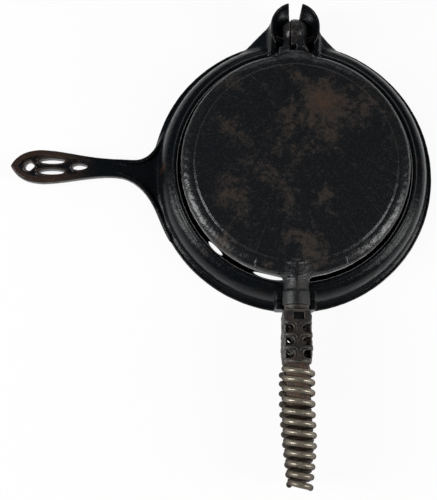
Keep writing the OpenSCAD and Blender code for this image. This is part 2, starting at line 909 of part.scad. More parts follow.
function tube_faces(n) = concat(
    [for (i = [0:n - 2], k = [0:tube_sides - 1])
        [i * tube_sides + k, (i + 1) * tube_sides + k, i * tube_sides + (k + 1) % tube_sides]],
    [for (i = [0:n - 2], k = [0:tube_sides - 1])
        [i * tube_sides + (k + 1) % tube_sides, (i + 1) * tube_sides + k,
            (i + 1) * tube_sides + (k + 1) % tube_sides]],
    [for (k = [1:tube_sides - 2]) [0, k, k + 1]],
    [for (k = [1:tube_sides - 2])
        [(n - 1) * tube_sides, (n - 1) * tube_sides + k + 1, (n - 1) * tube_sides + k]]
);

wound = coil_path(1);
coil_clear = min([
    for (i = [0:len(wound) - 1], j = [i + rings_per_turn - 2:1:len(wound) - 1])
        norm(wound[i] - wound[j])
]) - wire_d;
echo(least_gap_between_turns = coil_clear);

module coil(side) {
    path = coil_path(side);
    polyhedron(tube_points(path, wire_r), tube_faces(len(path)));
}

module upper_coil() {
    color(coil_steel) in_place(false) coil(1);
}

module lower_coil() {
    color(coil_steel) in_place(true) coil(-1);
}

base();
lower_plate();
upper_plate();
hinge_pin();
lower_shank();
upper_shank();
lower_rivet();
upper_rivet();
lower_core();
upper_core();
lower_coil();
upper_coil();
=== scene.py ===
"""Stovetop waffle iron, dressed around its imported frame.

Each casting is one closed skin round a field of distances: a number for every point of a block
of space, less than 0 in the metal, more than 0 outside. Fields are joined and cut with a soft
blend, so that walls, cups and handles flow together as they do in a casting. Coils and cores
are profiles carried along a path. Lengths are in millimetres until a mesh is made.
"""

import math

import bpy
import numpy as np
from mathutils import Matrix, Vector


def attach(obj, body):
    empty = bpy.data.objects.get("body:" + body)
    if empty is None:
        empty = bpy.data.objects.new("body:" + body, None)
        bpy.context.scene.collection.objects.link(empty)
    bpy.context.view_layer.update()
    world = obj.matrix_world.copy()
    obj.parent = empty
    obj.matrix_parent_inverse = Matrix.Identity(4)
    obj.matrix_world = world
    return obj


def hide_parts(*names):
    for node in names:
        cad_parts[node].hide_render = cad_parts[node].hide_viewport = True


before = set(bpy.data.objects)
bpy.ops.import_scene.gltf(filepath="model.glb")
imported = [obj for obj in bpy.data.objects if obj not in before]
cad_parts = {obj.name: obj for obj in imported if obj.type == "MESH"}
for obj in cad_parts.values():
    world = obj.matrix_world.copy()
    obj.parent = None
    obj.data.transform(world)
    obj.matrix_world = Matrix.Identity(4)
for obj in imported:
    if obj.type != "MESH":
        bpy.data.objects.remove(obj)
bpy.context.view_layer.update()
MM = 0.001

# ---- sizes, as the solids have them ----

PLATE_R = 95.25
PLATE_T = 10.0
JOINT_Z = 33.5
RIM_H = 3.0
STEP_R = 84.5
STEP_W = 1.4
STEP_DEPTH = 1.2
PART_GAP = 0.1
CAVITY_R = 86.0
CAVITY_DEPTH = 6.0
STUD_W = 7.6
STUD_PITCH = 13.0
STUD_DROP = 1.2
RIB_W = 4.0
BASE_R = 120.65
LIP_H = 28.5
LIP_R = 98.75
WALL = 4.5
BEAD_W = 2.6
BEAD_H = 3.4
HOLLOW_W = 3.6
HOLLOW_H = 4.2
BALL_Y = 117.0
BALL_R = 10.7
BALL_GAP = 0.5
SEAM_X = -4.2
SEAM_GAP = 0.5
PIN_R = 3.05
SHOULDER_W = 15.5
SHOULDER_LEFT = 14.4
SHOULDER_RIGHT = 12.4
SHOULDER_FALL = 2.2
EAR_REACH = 19.2
NOTCH_W = 4.6
NOTCH_L = 4.4
CUP_R = 20.9
CUP_WALL = 1.8
CUP_H = 40.0
CUP_Y = 120.7
SLOT_IN = 3.0
SLOT_OUT = 6.0
SLOT_LEAN = 0.4
SLOT_Z = 10.0
GUSSET_REACH = 57.0
GUSSET_FULL = 4.0
NECK_R = 10.5
HEAD_R = 11.3
HEAD_L = 11.9
NECK_END = 118.5
REST_GAP = 0.6
REST_W = 16.6
REST_FRONT = 121.5
REST_L = 14.5
REST_STEP = 5.8
REST_TOP = 32.7
SHANK_END = 165.5
GRIP_H = 14.5
SHANK_W = 11.5
SHANK_R = 10.6
HOLE_D = 6.4
HOLE_DX = 6.8
HOLE_OVER = 19.2
HOLE_FIRST = 19.5
HOLE_DY = 10.35
VENT_D = 3.8
VENT_SHIFT = 1.9
WINDOW_W = 8.6
WINDOW_L = 6.2
WINDOW_AT = 6.2
WINDOW_X = 0.9
TANG_W = 9.4
TANG_T = 5.0
TANG_L = 13.0
CORE_R = 8.7
CORE_LEN = 32.0
COLLAR_L = 1.0
WIRE_R = 2.43
COIL_R = 10.8
TIP_R = 7.4
COIL_PITCH = 7.85
COIL_TURNS = 11.5
COIL_TAIL = 0.12
TIP_TURNS = 4.5
COIL_START = 225.0
TIP_LEAN = 1.3
HANDLE_REACH = 241.3
HANDLE_W = 14.4
WAIST_W = 7.9
HANDLE_TOP = 15.0
HANDLE_LOW = 6.0
HANDLE_TURN = 0.3
BORDER_W = 5.2
FIELD_DEPTH = 1.8
HANG_AT = 225.1
EYE_AT = 206.1
DROP_AT = 182.4
EYE_L = 22.0
EYE_W = 4.8
EYE_GAP = 9.4
WEB_BACK = 46.0
WEB_FRONT = 60.0
WEB_DEPTH = 3.0
UPPER_EAR_ROOT = 14.1
UPPER_EAR_HALF = 6.0
LOWER_EAR_ROOT = 12.2
LOWER_EAR_HALF = 9.4
CAGE_WALL = 3.0
ROOM_Y = 142.1
ROOM_HALF = 8.6
CELL_HALF_W = 4.9
CELL_HALF_L = 4.3
CELL_DEPTH = 0.75
LOWER_TIP_EXTRA = 1.1
RIDGE_H = 0.55
# Radius of the painted shade on the floor under the ring, and half-width of its two painted lit
# patches, in millimetres.
PAINTED_SHADE_R = 113.0
PAINTED_LIT_HALF = 1.7

NECK_MID = HEAD_R / 2
COLLAR_Y = SHANK_END + COLLAR_L
COIL_Y = COLLAR_Y + WIRE_R + 0.17
BELL_R = BASE_R - BEAD_W - HOLLOW_W
BELL_Z = BEAD_H + HOLLOW_H
LIP_T = WALL - 0.5
LIP_OUT = LIP_R + LIP_T
SHOULDER_T = PLATE_T - STEP_DEPTH + 0.4
SHOULDER_END = BALL_Y - EAR_REACH
END_T = SHOULDER_T - SHOULDER_FALL

CAST_STEP = 0.6
PLATE_STEP = 0.55
FINE_STEP = 0.32
TABLE_STEP = 0.4
BEND_REACH = 1.2
BEND_LEAST = 0.3
DOME_RINGS = 8
MOST_TRIANGLES = 190000
# The painted lit patches on the floor under the ring: angle and half-angle in degrees, and radius in
# millimetres.
PAINTED_LIT_GAPS = ((-134.9, 5.0, 93.3), (-102.8, 8.2, 92.2))


# ---- fields of distances ----


class Block:
    """A box of space cut into cubes of one step; x, y and z are its points' coordinates."""

    def __init__(self, low, high, step):
        self.low = np.array(low, float)
        self.step = step
        self.axes = [
            (start + step * np.arange(math.ceil((end - start) / step) + 1)).astype(np.float32)
            for start, end in zip(low, high)
        ]
        self.x, self.y, self.z = np.meshgrid(*self.axes, indexing="ij", sparse=True)
        self.shape = tuple(len(axis) for axis in self.axes)

    def near(self, low, high):
        """The slices between two corners, and the coordinates inside them."""
        cut = tuple(
            slice(*np.searchsorted(axis, [start, end]))
            for axis, start, end in zip(self.axes, low, high)
        )
        return cut, self.x[cut[0]], self.y[:, cut[1]], self.z[:, :, cut[2]]


def join(a, b, blend):
    """Union of two fields. Where they are within blend of each other, a parabola of that width
    fills the corner between them."""
    share = np.clip(0.5 + 0.5 * (b - a) / blend, 0, 1)
    return b + (a - b) * share - blend * share * (1 - share)


def meet(a, b, blend):
    """The space in both fields, with its edge rounded over the width of blend."""
    return -join(-a, -b, blend)


def carve(a, b, blend):
    """The first field without the second, with the edge rounded."""
    return -join(-a, b, blend)


def ease(value, start, end):
    """0 before start, 1 after end, and a smooth step 3t^2 - 2t^3 between them."""
    t = np.clip((value - start) / (end - start), 0, 1)
    return t * t * (3 - 2 * t)


def curve(a, b, c, d, count):
    """Points of the cubic curve from a to d that starts towards b and arrives from c."""
    t = np.linspace(0, 1, count + 1)[:, None]
    a, b, c, d = (np.array(point, float) for point in (a, b, c, d))
    return (1 - t) ** 3 * a + 3 * (1 - t) ** 2 * t * b + 3 * (1 - t) * t**2 * c + t**3 * d


def arc(centre, radius_x, radius_y, start, end, count):
    """Points of an ellipse's stretch between two angles in degrees."""
    angle = np.radians(np.linspace(start, end, count + 1))
    return np.array(centre) + np.stack([radius_x * np.cos(angle), radius_y * np.sin(angle)], 1)


def outline_distance(outline, px, py):
    """Distance in a plane from each point to a closed outline, less than 0 inside it: the least
    distance to any of its edges, with a sign that flips at each edge crossed."""
    px, py = np.broadcast_arrays(px, py)
    nearest = np.full(px.shape, 1e9, np.float32)
    inside = np.zeros(px.shape, bool)
    ends = np.roll(outline, -1, axis=0)
    for (ax, ay), (bx, by) in zip(outline, ends):
        ex, ey = bx - ax, by - ay
        length = ex * ex + ey * ey
        if length < 1e-12:
            continue
        wx, wy = px - ax, py - ay
        t = np.clip((wx * ex + wy * ey) / length, 0, 1)
        nearest = np.minimum(nearest, (wx - t * ex) ** 2 + (wy - t * ey) ** 2)
        if ey != 0:
            inside ^= ((ay <= py) != (by <= py)) & (px < ax + (py - ay) / ey * ex)
    return np.where(inside, -1, 1).astype(np.float32) * np.sqrt(nearest)


def turned(outline, radius, z):
    """A profile of radius and height turned about the Z axis: its plane distance is worked out
    once on a table of radii, and read back at every point's own radius."""
    radii = np.arange(0, float(radius.max()) + 1, TABLE_STEP, dtype=np.float32)
    table = outline_distance(outline, radii[:, None], z.reshape(1, -1))
    place = radius[:, :, 0] / TABLE_STEP
    index = np.minimum(place.astype(np.int32), len(radii) - 2)
    rest = (place - index)[:, :, None]
    return table[index] * (1 - rest) + table[index + 1] * rest


CORNERS = np.array([(i, j, k) for i in (0, 1) for j in (0, 1) for k in (0, 1)])
EDGES = [
    (a, b) for a in range(8) for b in range(a + 1, 8) if abs(CORNERS[a] - CORNERS[b]).sum() == 1
]


def skin(field, block):
    """Closed surface of a field. Each cube that the surface passes gets one point, the mean of
    where it crosses the cube's edges, and each crossed edge a face over its four cubes."""
    inside = field < 0
    cubes_x, cubes_y, cubes_z = (length - 1 for length in inside.shape)
    count = sum(
        inside[i : i + cubes_x, j : j + cubes_y, k : k + cubes_z].astype(np.int8) for i, j, k in CORNERS
    )
    active = (count > 0) & (count < 8)
    cubes = np.argwhere(active)
    number = np.full(active.shape, -1, np.int32)
    number[active] = np.arange(len(cubes))
    values = np.stack([field[tuple((cubes + corner).T)] for corner in CORNERS], 1)
    total = np.zeros((len(cubes), 3))
    hits = np.zeros(len(cubes))
    for a, b in EDGES:
        crossed = (values[:, a] < 0) != (values[:, b] < 0)
        t = np.where(crossed, values[:, a] / np.where(crossed, values[:, a] - values[:, b], 1), 0)
        point = CORNERS[a] + t[:, None] * (CORNERS[b] - CORNERS[a])
        total += np.where(crossed[:, None], point, 0)
        hits += crossed
    points = (cubes + total / hits[:, None]) * block.step + block.low
    faces = []
    for axis in range(3):
        u, v = (axis + 1) % 3, (axis + 2) % 3
        low = np.moveaxis(inside, axis, 0)[:-1]
        high = np.moveaxis(inside, axis, 0)[1:]
        edge = np.argwhere(np.moveaxis(low != high, 0, axis))
        fits = (edge[:, u] > 0) & (edge[:, v] > 0)
        edge = edge[fits & (edge[:, u] < inside.shape[u] - 1) & (edge[:, v] < inside.shape[v] - 1)]
        quad = []
        for du, dv in ((1, 1), (0, 1), (0, 0), (1, 0)):
            cell = edge.copy()
            cell[:, u] -= du
            cell[:, v] -= dv
            quad.append(number[tuple(cell.T)])
        quad = np.stack(quad, 1)
        outward = inside[tuple(edge.T)]
        faces.append(np.where(outward[:, None], quad, quad[:, ::-1]))
    return points, np.concatenate(faces)


# ---- meshes ----


def mesh_object(name, points, faces):
    """A mesh from arrays of points in metres and of four-cornered or three-cornered faces."""
    mesh = bpy.data.meshes.new(name)
    corners = faces.shape[1]
    mesh.vertices.add(len(points))
    mesh.vertices.foreach_set("co", np.asarray(points, np.float32).ravel())
    mesh.loops.add(faces.size)
    mesh.loops.foreach_set("vertex_index", faces.astype(np.int32).ravel())
    mesh.polygons.add(len(faces))
    mesh.polygons.foreach_set("loop_start", np.arange(0, faces.size, corners, dtype=np.int32))
    mesh.polygons.foreach_set("use_smooth", np.ones(len(faces), bool))
    mesh.update(calc_edges=True)
    mesh.validate()
    piece = bpy.data.objects.new(name, mesh)
    bpy.context.collection.objects.link(piece)
    return piece


def thinned(piece, most):
    """The piece with no more triangles than most, fewer where its surface is flat."""
    triangles = 2 * len(piece.data.polygons)
    if triangles > most:
        modifier = piece.modifiers.new("thin", "DECIMATE")
        modifier.ratio = most / triangles
        shaped = piece.evaluated_get(bpy.context.evaluated_depsgraph_get())
        mesh = bpy.data.meshes.new_from_object(shaped)
        piece.modifiers.clear()
        piece.data = mesh
    return piece


def waves(points, count, shortest, longest, seed):
    """Sum of sine waves in random directions, with lengths between shortest and longest, scaled
    to lie mostly between -1 and 1."""
    draw = np.random.default_rng(seed)
    total = np.zeros(len(points))
    for _ in range(count):
        way = draw.normal(size=3)
        length = shortest * (longest / shortest) ** draw.random()
        way *= 2 * math.pi / (length * np.linalg.norm(way))
        total += np.sin(points @ way + draw.random() * 2 * math.pi)
    return total / math.sqrt(count)


def casting(name, block, field, place=None, rough=0.05, most=MOST_TRIANGLES):
    """A cast piece: the skin of the field, thinned, slightly uneven, and with an attribute
    "edge" that is above 0 on outer edges and below 0 in corners, from the field's curvature.
    Nothing of it goes below the foot's plane."""
    points, faces = skin(field, block)
    piece = thinned(mesh_object(name, points, faces), most)
    mesh = piece.data
    co = np.empty(3 * len(mesh.vertices), np.float32)
    mesh.vertices.foreach_get("co", co)
    co = co.reshape(-1, 3)
    reach = max(1, round(BEND_REACH / block.step))
    at = np.rint((co - block.low) / block.step).astype(int)
    at = np.clip(at, reach, np.array(block.shape) - 1 - reach)
    bend = -6 * field[tuple(at.T)]
    for axis in range(3):
        for side in (-reach, reach):
            beside = at.copy()
            beside[:, axis] += side
            bend += field[tuple(beside.T)]
    bend = bend / (reach * block.step) ** 2
    normals = np.empty(3 * len(mesh.vertices), np.float32)
    mesh.vertices.foreach_get("normal", normals)
    normals = normals.reshape(-1, 3)
    co = co + (rough * waves(co, 14, 3.5, 22, 5))[:, None] * normals
    if place is not None:
        co = place(co)
    co[:, 2] = np.maximum(co[:, 2], 0)
    mesh.vertices.foreach_set("co", (co * MM).astype(np.float32).ravel())
    edge = mesh.attributes.new("edge", "FLOAT", "POINT")
    bend = np.sign(bend) * np.maximum(np.abs(bend) - BEND_LEAST, 0)
    edge.data.foreach_set("value", np.clip(bend * 0.9, -1, 1).astype(np.float32))
    mesh.polygons.foreach_set("use_smooth", np.ones(len(mesh.polygons), bool))
    mesh.update()
    weigh = piece.modifiers.new("normals", "WEIGHTED_NORMAL")
    weigh.weight = 50
    weigh.keep_sharp = False
    return piece


# ---- base: ring, hinge cup, gussets, front rest and side handle in one casting ----


def ring_profile():
    """Radius and height round the ring's wall: bead, hollow, bell and lip, and back inside."""
    return np.concatenate(
        [
            [[BASE_R - 0.5, 0], [BASE_R, 0.6]],
            arc((BASE_R - BEAD_W / 2, BEAD_H - BEAD_W / 2), BEAD_W / 2, BEAD_W / 2, 0, 150, 8),
            arc((BASE_R - BEAD_W, BELL_Z), HOLLOW_W, HOLLOW_H, 262, 180, 6),
            arc((LIP_OUT, BELL_Z), BELL_R - LIP_OUT, LIP_H - BELL_Z - LIP_T / 2, 4, 84, 14),
            arc((LIP_R + LIP_T / 2, LIP_H - LIP_T / 2), LIP_T / 2, LIP_T / 2, 20, 180, 10),
            ring_inner(),
        ]
    )


def ring_inner():
    """Radius and height down the inside of the wall, from the lip to the foot."""
    inner_h = LIP_H - BELL_Z - 2
    return np.concatenate(
        [
            [[LIP_R, LIP_H - 2.6]],
            arc((LIP_R, BELL_Z - 2), BELL_R - LIP_R - WALL, inner_h, 80, 0, 10),
            [[BELL_R - WALL + 1, BELL_Z - 2], [BASE_R - BEAD_W - WALL + 1, 0]],
        ]
    )


def ring_room(radius, z):
    """The space inside the wall, under the lip and up through its opening."""
    room = np.concatenate(
        [
            [[-40, 60], [LIP_R, 60]],
            ring_inner(),
            [[BASE_R - BEAD_W - WALL + 1, -9], [-40, -9]],
        ]
    )
    return turned(room, radius, z)


def add_cup(field, block):
    """The hinge cup: a U in plan, open towards the plates, round which the wall falls to the
    lip. Inside, a bowl widens from the ball's seat to the rim as the sine of its height."""
    cut, x, y, z = block.near((-62, 82, -3), (62, 146, 46))
    across = np.hypot(x, np.maximum(y - CUP_Y, 0))
    rim = LIP_H + 2.6 + (CUP_H - LIP_H - 2.6) * ease(y, LIP_R, BALL_Y - 4)
    under = np.interp(y, [BASE_R - 2, BASE_R + 7, CUP_Y + CUP_R, 150], [-1, 6, 18, 22])
    cup = meet(across - CUP_R, z - rim, 1.4)
    cup = meet(cup, 0.75 * (under - z), 2.5)
    cup = meet(meet(cup, -z, 0.8), LIP_R - 6 - y, 1.0)
    cup = join(cup, gussets(x, y, z), 4)
    rise = np.clip((z - JOINT_Z + 4) / (CUP_H - JOINT_Z + 4), 0, 1.2)
    middle = BALL_Y + (CUP_Y - BALL_Y) * rise
    widen = np.sin(np.minimum(rise, 1) * math.pi / 2)
    bowl = BALL_R + 0.3 + (CUP_R - CUP_WALL - BALL_R - 0.3) * widen - 2.4 * (1 - ease(y, 98, 118))
    room = 0.8 * (np.hypot(x, np.maximum(y - middle, 0)) - bowl)
    room = np.maximum(room, JOINT_Z - 4 - z)
    seat = np.sqrt(x**2 + (y - BALL_Y) ** 2 + (z - JOINT_Z) ** 2) - BALL_R - BALL_GAP
    room = join(seat, room, 1.0)
    trough = np.maximum(np.hypot(x, z - JOINT_Z) - (SHOULDER_W + 0.7), y - BALL_Y + 4)
    room = np.minimum(room, trough)
    along = (y - BALL_Y - 4) / (CUP_Y + CUP_R - BALL_Y - 3)
    half = SLOT_IN + (SLOT_OUT - SLOT_IN) * along
    lean = SLOT_LEAN * (2 * along - 1)
    slot = np.maximum(np.maximum(np.abs(x - lean) - half, SLOT_Z - z), BALL_Y + 4 - y)
    cup = carve(cup, ring_room(np.hypot(x, y), z), 1.2)
    wall = join(field[cut], cup, 3.0)
    wall = carve(wall, room, 1.0)
    field[cut] = carve(wall, slot, 0.8)
    return field


def gussets(x, y, z):
    """The ring's wall drawn out on both sides in a hollow curve to meet the cup, fuller on the
    left. It is under a slope that falls from the cup to the ring's bead."""
    both = None
    for side in (-1, 1):
        full = GUSSET_FULL if side < 0 else 0
        start = (GUSSET_REACH, math.sqrt((BASE_R - 1.6) ** 2 - GUSSET_REACH**2))
        bend = (CUP_R + 12 + full, BASE_R - 9 + full)
        finish = (CUP_R - 1, CUP_Y + 1 + full)
        outline = np.concatenate(
            [
                curve(start, (start[0] - 14, start[1] - 1), bend, finish, 12),
                [[CUP_R - 1, LIP_R + 2], [GUSSET_REACH, LIP_R - 12]],
            ]
        )
        plan = outline_distance(outline, side * x[:, :, 0], y[:, :, 0])[:, :, None]
        both = plan if both is None else np.minimum(both, plan)
    top = np.interp(np.abs(x), [CUP_R, 30, 42, GUSSET_REACH + 2], [LIP_H, 21.5, 12.5, 0.5])
    return meet(meet(both, 0.8 * (z - top), 2.0), -z, 0.8)


def add_rest(field, block):
    """The cheeks at the front, in two stages, with a round trough for the neck."""
    cut, x, y, z = block.near((-24, -126, -3), (24, -84, 40))
    middle = REST_FRONT - REST_L / 2
    cheeks = meet(np.abs(x) - REST_W, np.abs(y + middle) - REST_L / 2, 2.0)
    cheeks = meet(meet(cheeks, z - REST_TOP, 1.6), BELL_Z - z, 2.0)
    notch = np.maximum(np.abs(y + REST_FRONT - REST_STEP - 1.1) - 1.1, REST_TOP - 3.5 - z)
    cheeks = carve(cheeks, notch, 1.2)
    trough = np.hypot(x, z - JOINT_Z) - HEAD_R - REST_GAP
    field[cut] = carve(join(field[cut], cheeks, 2.0), trough, 0.9)
    return field


def handle_outline():
    """The side handle in plan from the ring to its pointed tip. It springs from the ring in a
    tight curve at the back and a wide one in front."""
    root, grip = BASE_R - 12.65, HANDLE_REACH - 27
    waist = root + 44
    edge = np.concatenate(
        [
            curve(
                (waist, WAIST_W), (grip - 40, WAIST_W - 0.6),
                (grip - 22, HANDLE_W - 0.8), (grip, HANDLE_W), 16,
            ),
            curve(
                (grip, HANDLE_W), (grip + 13, HANDLE_W),
                (HANDLE_REACH - 4.5, HANDLE_W * 0.67), (HANDLE_REACH, 0), 16,
            )[1:],
        ]
    )
    back = curve((root, WEB_BACK), (root + 8, 28), (root + 11, WAIST_W + 0.3), (root + 30, WAIST_W), 14)
    front = curve(
        (root - 3.8, WEB_FRONT), (root + 8.9, 39.6), (root + 16, WAIST_W + 0.3), (waist, WAIST_W), 14
    )[:-1]
    return np.concatenate([back, edge, (np.concatenate([front, edge[:-1]]) * (1, -1))[::-1]])


def ellipse_distance(u, v, centre_u, centre_v, half_u, half_v):
    """Distance to an ellipse, near enough close to it: (q - 1) q / |gradient of q^2 / 2|."""
    du, dv = (u - centre_u) / half_u, (v - centre_v) / half_v
    q = np.sqrt(du * du + dv * dv) + 1e-6
    slope = np.sqrt((du / half_u) ** 2 + (dv / half_v) ** 2) + 1e-6
    return q * (q - 1) / slope


def handle_holes(u, v):
    """The diamond for hanging, the two long eyes and the drop, as one plane distance. The
    drop's half-width goes as t^0.5 (1 - t)^0.75."""
    hang_u = u - HANG_AT
    hang = (np.abs(hang_u) * 0.9 + np.abs(v)) * 0.74 - 3.45
    hang = np.where(hang_u > 0, np.hypot(hang_u, v) - 4.3, hang)
    hang = meet(hang, np.hypot(hang_u, v) - 4.5, 1.0)
    eyes = ellipse_distance(u, np.abs(v), EYE_AT, EYE_GAP / 2, EYE_L / 2, EYE_W / 2)
    along = np.clip((DROP_AT + 6.5 - u) / 13.5, 0, 1)
    drop_w = 2.8 * along**0.5 * (1 - along) ** 0.75 / 0.431
    drop = np.maximum(np.abs(v) - drop_w, np.abs(u - DROP_AT + 0.25) - 6.75)
    return np.minimum(np.minimum(hang, eyes), drop)


def add_handle(field, block):
    """The side handle: a tapered bar between a top and a low curve, less a sunk field inside
    the border, raised again in a rim round each hole. The web at its root falls to the ring."""
    cut, x, y, z = block.near((-HANDLE_REACH - 2, -70, -3), (-93, 56, 20))
    turn = math.radians(HANDLE_TURN)
    u = -x[:, :, 0] * math.cos(turn) + y[:, :, 0] * math.sin(turn)
    v = y[:, :, 0] * math.cos(turn) + x[:, :, 0] * math.sin(turn)
    plan = outline_distance(handle_outline(), u, v)
    top_edge = curve(
        (BASE_R - 4, 9), (BASE_R + 8, 9.5), (BASE_R + 18, HANDLE_TOP - 2), (BASE_R + 45, HANDLE_TOP), 12
    )
    low_edge = curve(
        (BASE_R + 2, 0.3), (BASE_R + 14, 1), (BASE_R + 22, HANDLE_LOW), (BASE_R + 42, HANDLE_LOW), 12
    )
    top = np.interp(u, [90, *top_edge[:, 0]], [12.5, *top_edge[:, 1]])
    low = np.interp(u, [90, *low_edge[:, 0]], [0, *low_edge[:, 1]])
    depth = np.maximum(-plan, 0)
    holes = handle_holes(u, v)
    border = BORDER_W - 1.6 * (1 - ease(u, 170, 200))
    field_in = ease(depth - border, -1.3, 1.3) * ease(u, BASE_R + 46, BASE_R + 66)
    rim = 1 - ease(holes, 0.8, 2.4)
    top = top - FIELD_DEPTH * 0.72 * field_in * (1 - 0.8 * rim)
    web = ease(depth, 2.2, 5.0) * (1 - ease(u, BASE_R + 16, BASE_R + 34))
    top = top - WEB_DEPTH * web
    beside = np.abs(v) / np.where(v < 0, WEB_FRONT, WEB_BACK)
    top = top + (2.6 - top) * ease(beside, 0.35, 1.0)
    bar = meet(plan[:, :, None], 0.8 * (z - top[:, :, None]), 1.8)
    bar = meet(bar, low[:, :, None] - z, 2.0)
    bar = carve(bar, holes[:, :, None], 0.9)
    bar = carve(bar, ring_room(np.hypot(x, y), z), 1.0)
    field[cut] = join(field[cut], bar, 3.5)
    return field


def base_casting():
    """The whole base, cut off level at the foot."""
    block = Block((-243.2, -123.6, -1.2), (122.4, 143.6, 42), CAST_STEP)
    field = np.full(block.shape, 6.0, np.float32)
    cut, x, y, z = block.near((-123.6, -124, -3), (124, 124, 31))
    field[cut] = turned(ring_profile(), np.hypot(x, y), z)
    field = add_handle(field, block)
    field = add_rest(field, block)
    field = add_cup(field, block)
    return casting("base_casting", block, np.maximum(field, -block.z))


# ---- plates ----


def plate_profile():
    """Radius and height of one plate: rim, rounded shoulder, stepped groove and flat back."""
    return np.concatenate(
        [
            [[-40, PART_GAP], [PLATE_R, PART_GAP]],
            arc(
                (STEP_R + STEP_W, RIM_H),
                PLATE_R - STEP_R - STEP_W,
                PLATE_T - STEP_DEPTH - RIM_H,
                0, 90, 14,
            ),
            [[STEP_R, PLATE_T - STEP_DEPTH], [STEP_R - STEP_W / 2, PLATE_T], [-40, PLATE_T]],
        ]
    )


def waffle_pattern(x, y):
    """Plane distance to the studs and cross ribs of the batter side, less than 0 in them."""
    first = RIB_W / 2 + STUD_PITCH - STUD_W / 2
    spot_x = np.maximum(np.rint((np.abs(x) - first) / STUD_PITCH), 0) * STUD_PITCH + first
    spot_y = np.maximum(np.rint((np.abs(y) - first) / STUD_PITCH), 0) * STUD_PITCH + first
    stud = np.maximum(np.abs(np.abs(x) - spot_x), np.abs(np.abs(y) - spot_y)) - STUD_W / 2
    outside = np.hypot(spot_x + STUD_W / 2, spot_y + STUD_W / 2) > CAVITY_R - 3
    stud = np.where(outside, 20, stud)
    ribs = np.minimum(np.abs(x), np.abs(y)) - RIB_W / 2
    return np.minimum(stud, ribs)


def add_cavity(field, block):
    """The batter side: a round hollow with tapered studs and ribs left standing."""
    cut, x, y, z = block.near((-90, -90, -3), (90, 90, CAVITY_DEPTH + 3))
    radius = np.hypot(x, y)
    studs = waffle_pattern(x[:, :, 0], y[:, :, 0])[:, :, None] - 0.13 * (z - 3)
    hollow = meet(radius - CAVITY_R - 0.12 * (3 - z), z - CAVITY_DEPTH, 1.4)
    hollow = carve(hollow, studs, 1.2)
    hollow = np.minimum(hollow, np.maximum(radius - CAVITY_R, z - STUD_DROP))
    field[cut] = carve(field[cut], hollow, 0.9)
    return field


def add_neck(field, block):
    """Half-round neck with a soft crest, spread at its root and headed at its end, and the tang
    beyond it. Radius = neck + crest * exp(-(x / 2.4)^2)."""
    cut, x, y, z = block.near((-34, -134, -3), (34, -70, 15))
    crest = 0.55 * np.exp(-((x / 2.4) ** 2))
    bar = meet(np.hypot(x, z) - NECK_R - crest, y + 84, 3)
    head = meet(np.hypot(x, z) - HEAD_R, y + NECK_END - HEAD_L, 1.6)
    bar = meet(join(bar, head, 1.2), -NECK_END - y, 0.8)
    bar = meet(bar, PART_GAP - z, 0.5)
    slope = math.atan((GRIP_H - NECK_MID) / (SHANK_END - NECK_END))
    along = -(y + NECK_END) * math.cos(slope) + (z - NECK_MID) * math.sin(slope)
    above = (y + NECK_END) * math.sin(slope) + (z - NECK_MID) * math.cos(slope)
    tang = meet(np.abs(x) - TANG_W / 2, np.abs(above) - TANG_T / 2, 0.6)
    tang = meet(tang, np.abs(along - TANG_L / 2 + 2) - TANG_L / 2 - 2, 0.6)
    field[cut] = join(join(field[cut], bar, 5.0), tang, 0.6)
    return field


def add_pad(field, block):
    """The low flat pad in the rounded shoulder, on both sides of the neck."""
    cut, x, y, z = block.near((-50, -97, -3), (50, -74, 14))
    radius = np.hypot(x, y)
    left, right = math.radians(21.5), math.radians(26)
    side = np.maximum(
        -x * math.cos(left) + y * math.sin(left), x * math.cos(right) + y * math.sin(right)
    )
    pad = meet(np.abs(radius - 90.1) - 4.2, z - (PLATE_T - STEP_DEPTH + 0.1), 0.8)
    pad = meet(meet(pad, side, 0.8), PART_GAP - z, 0.5)
    field[cut] = join(field[cut], pad, 0.8)
    return field


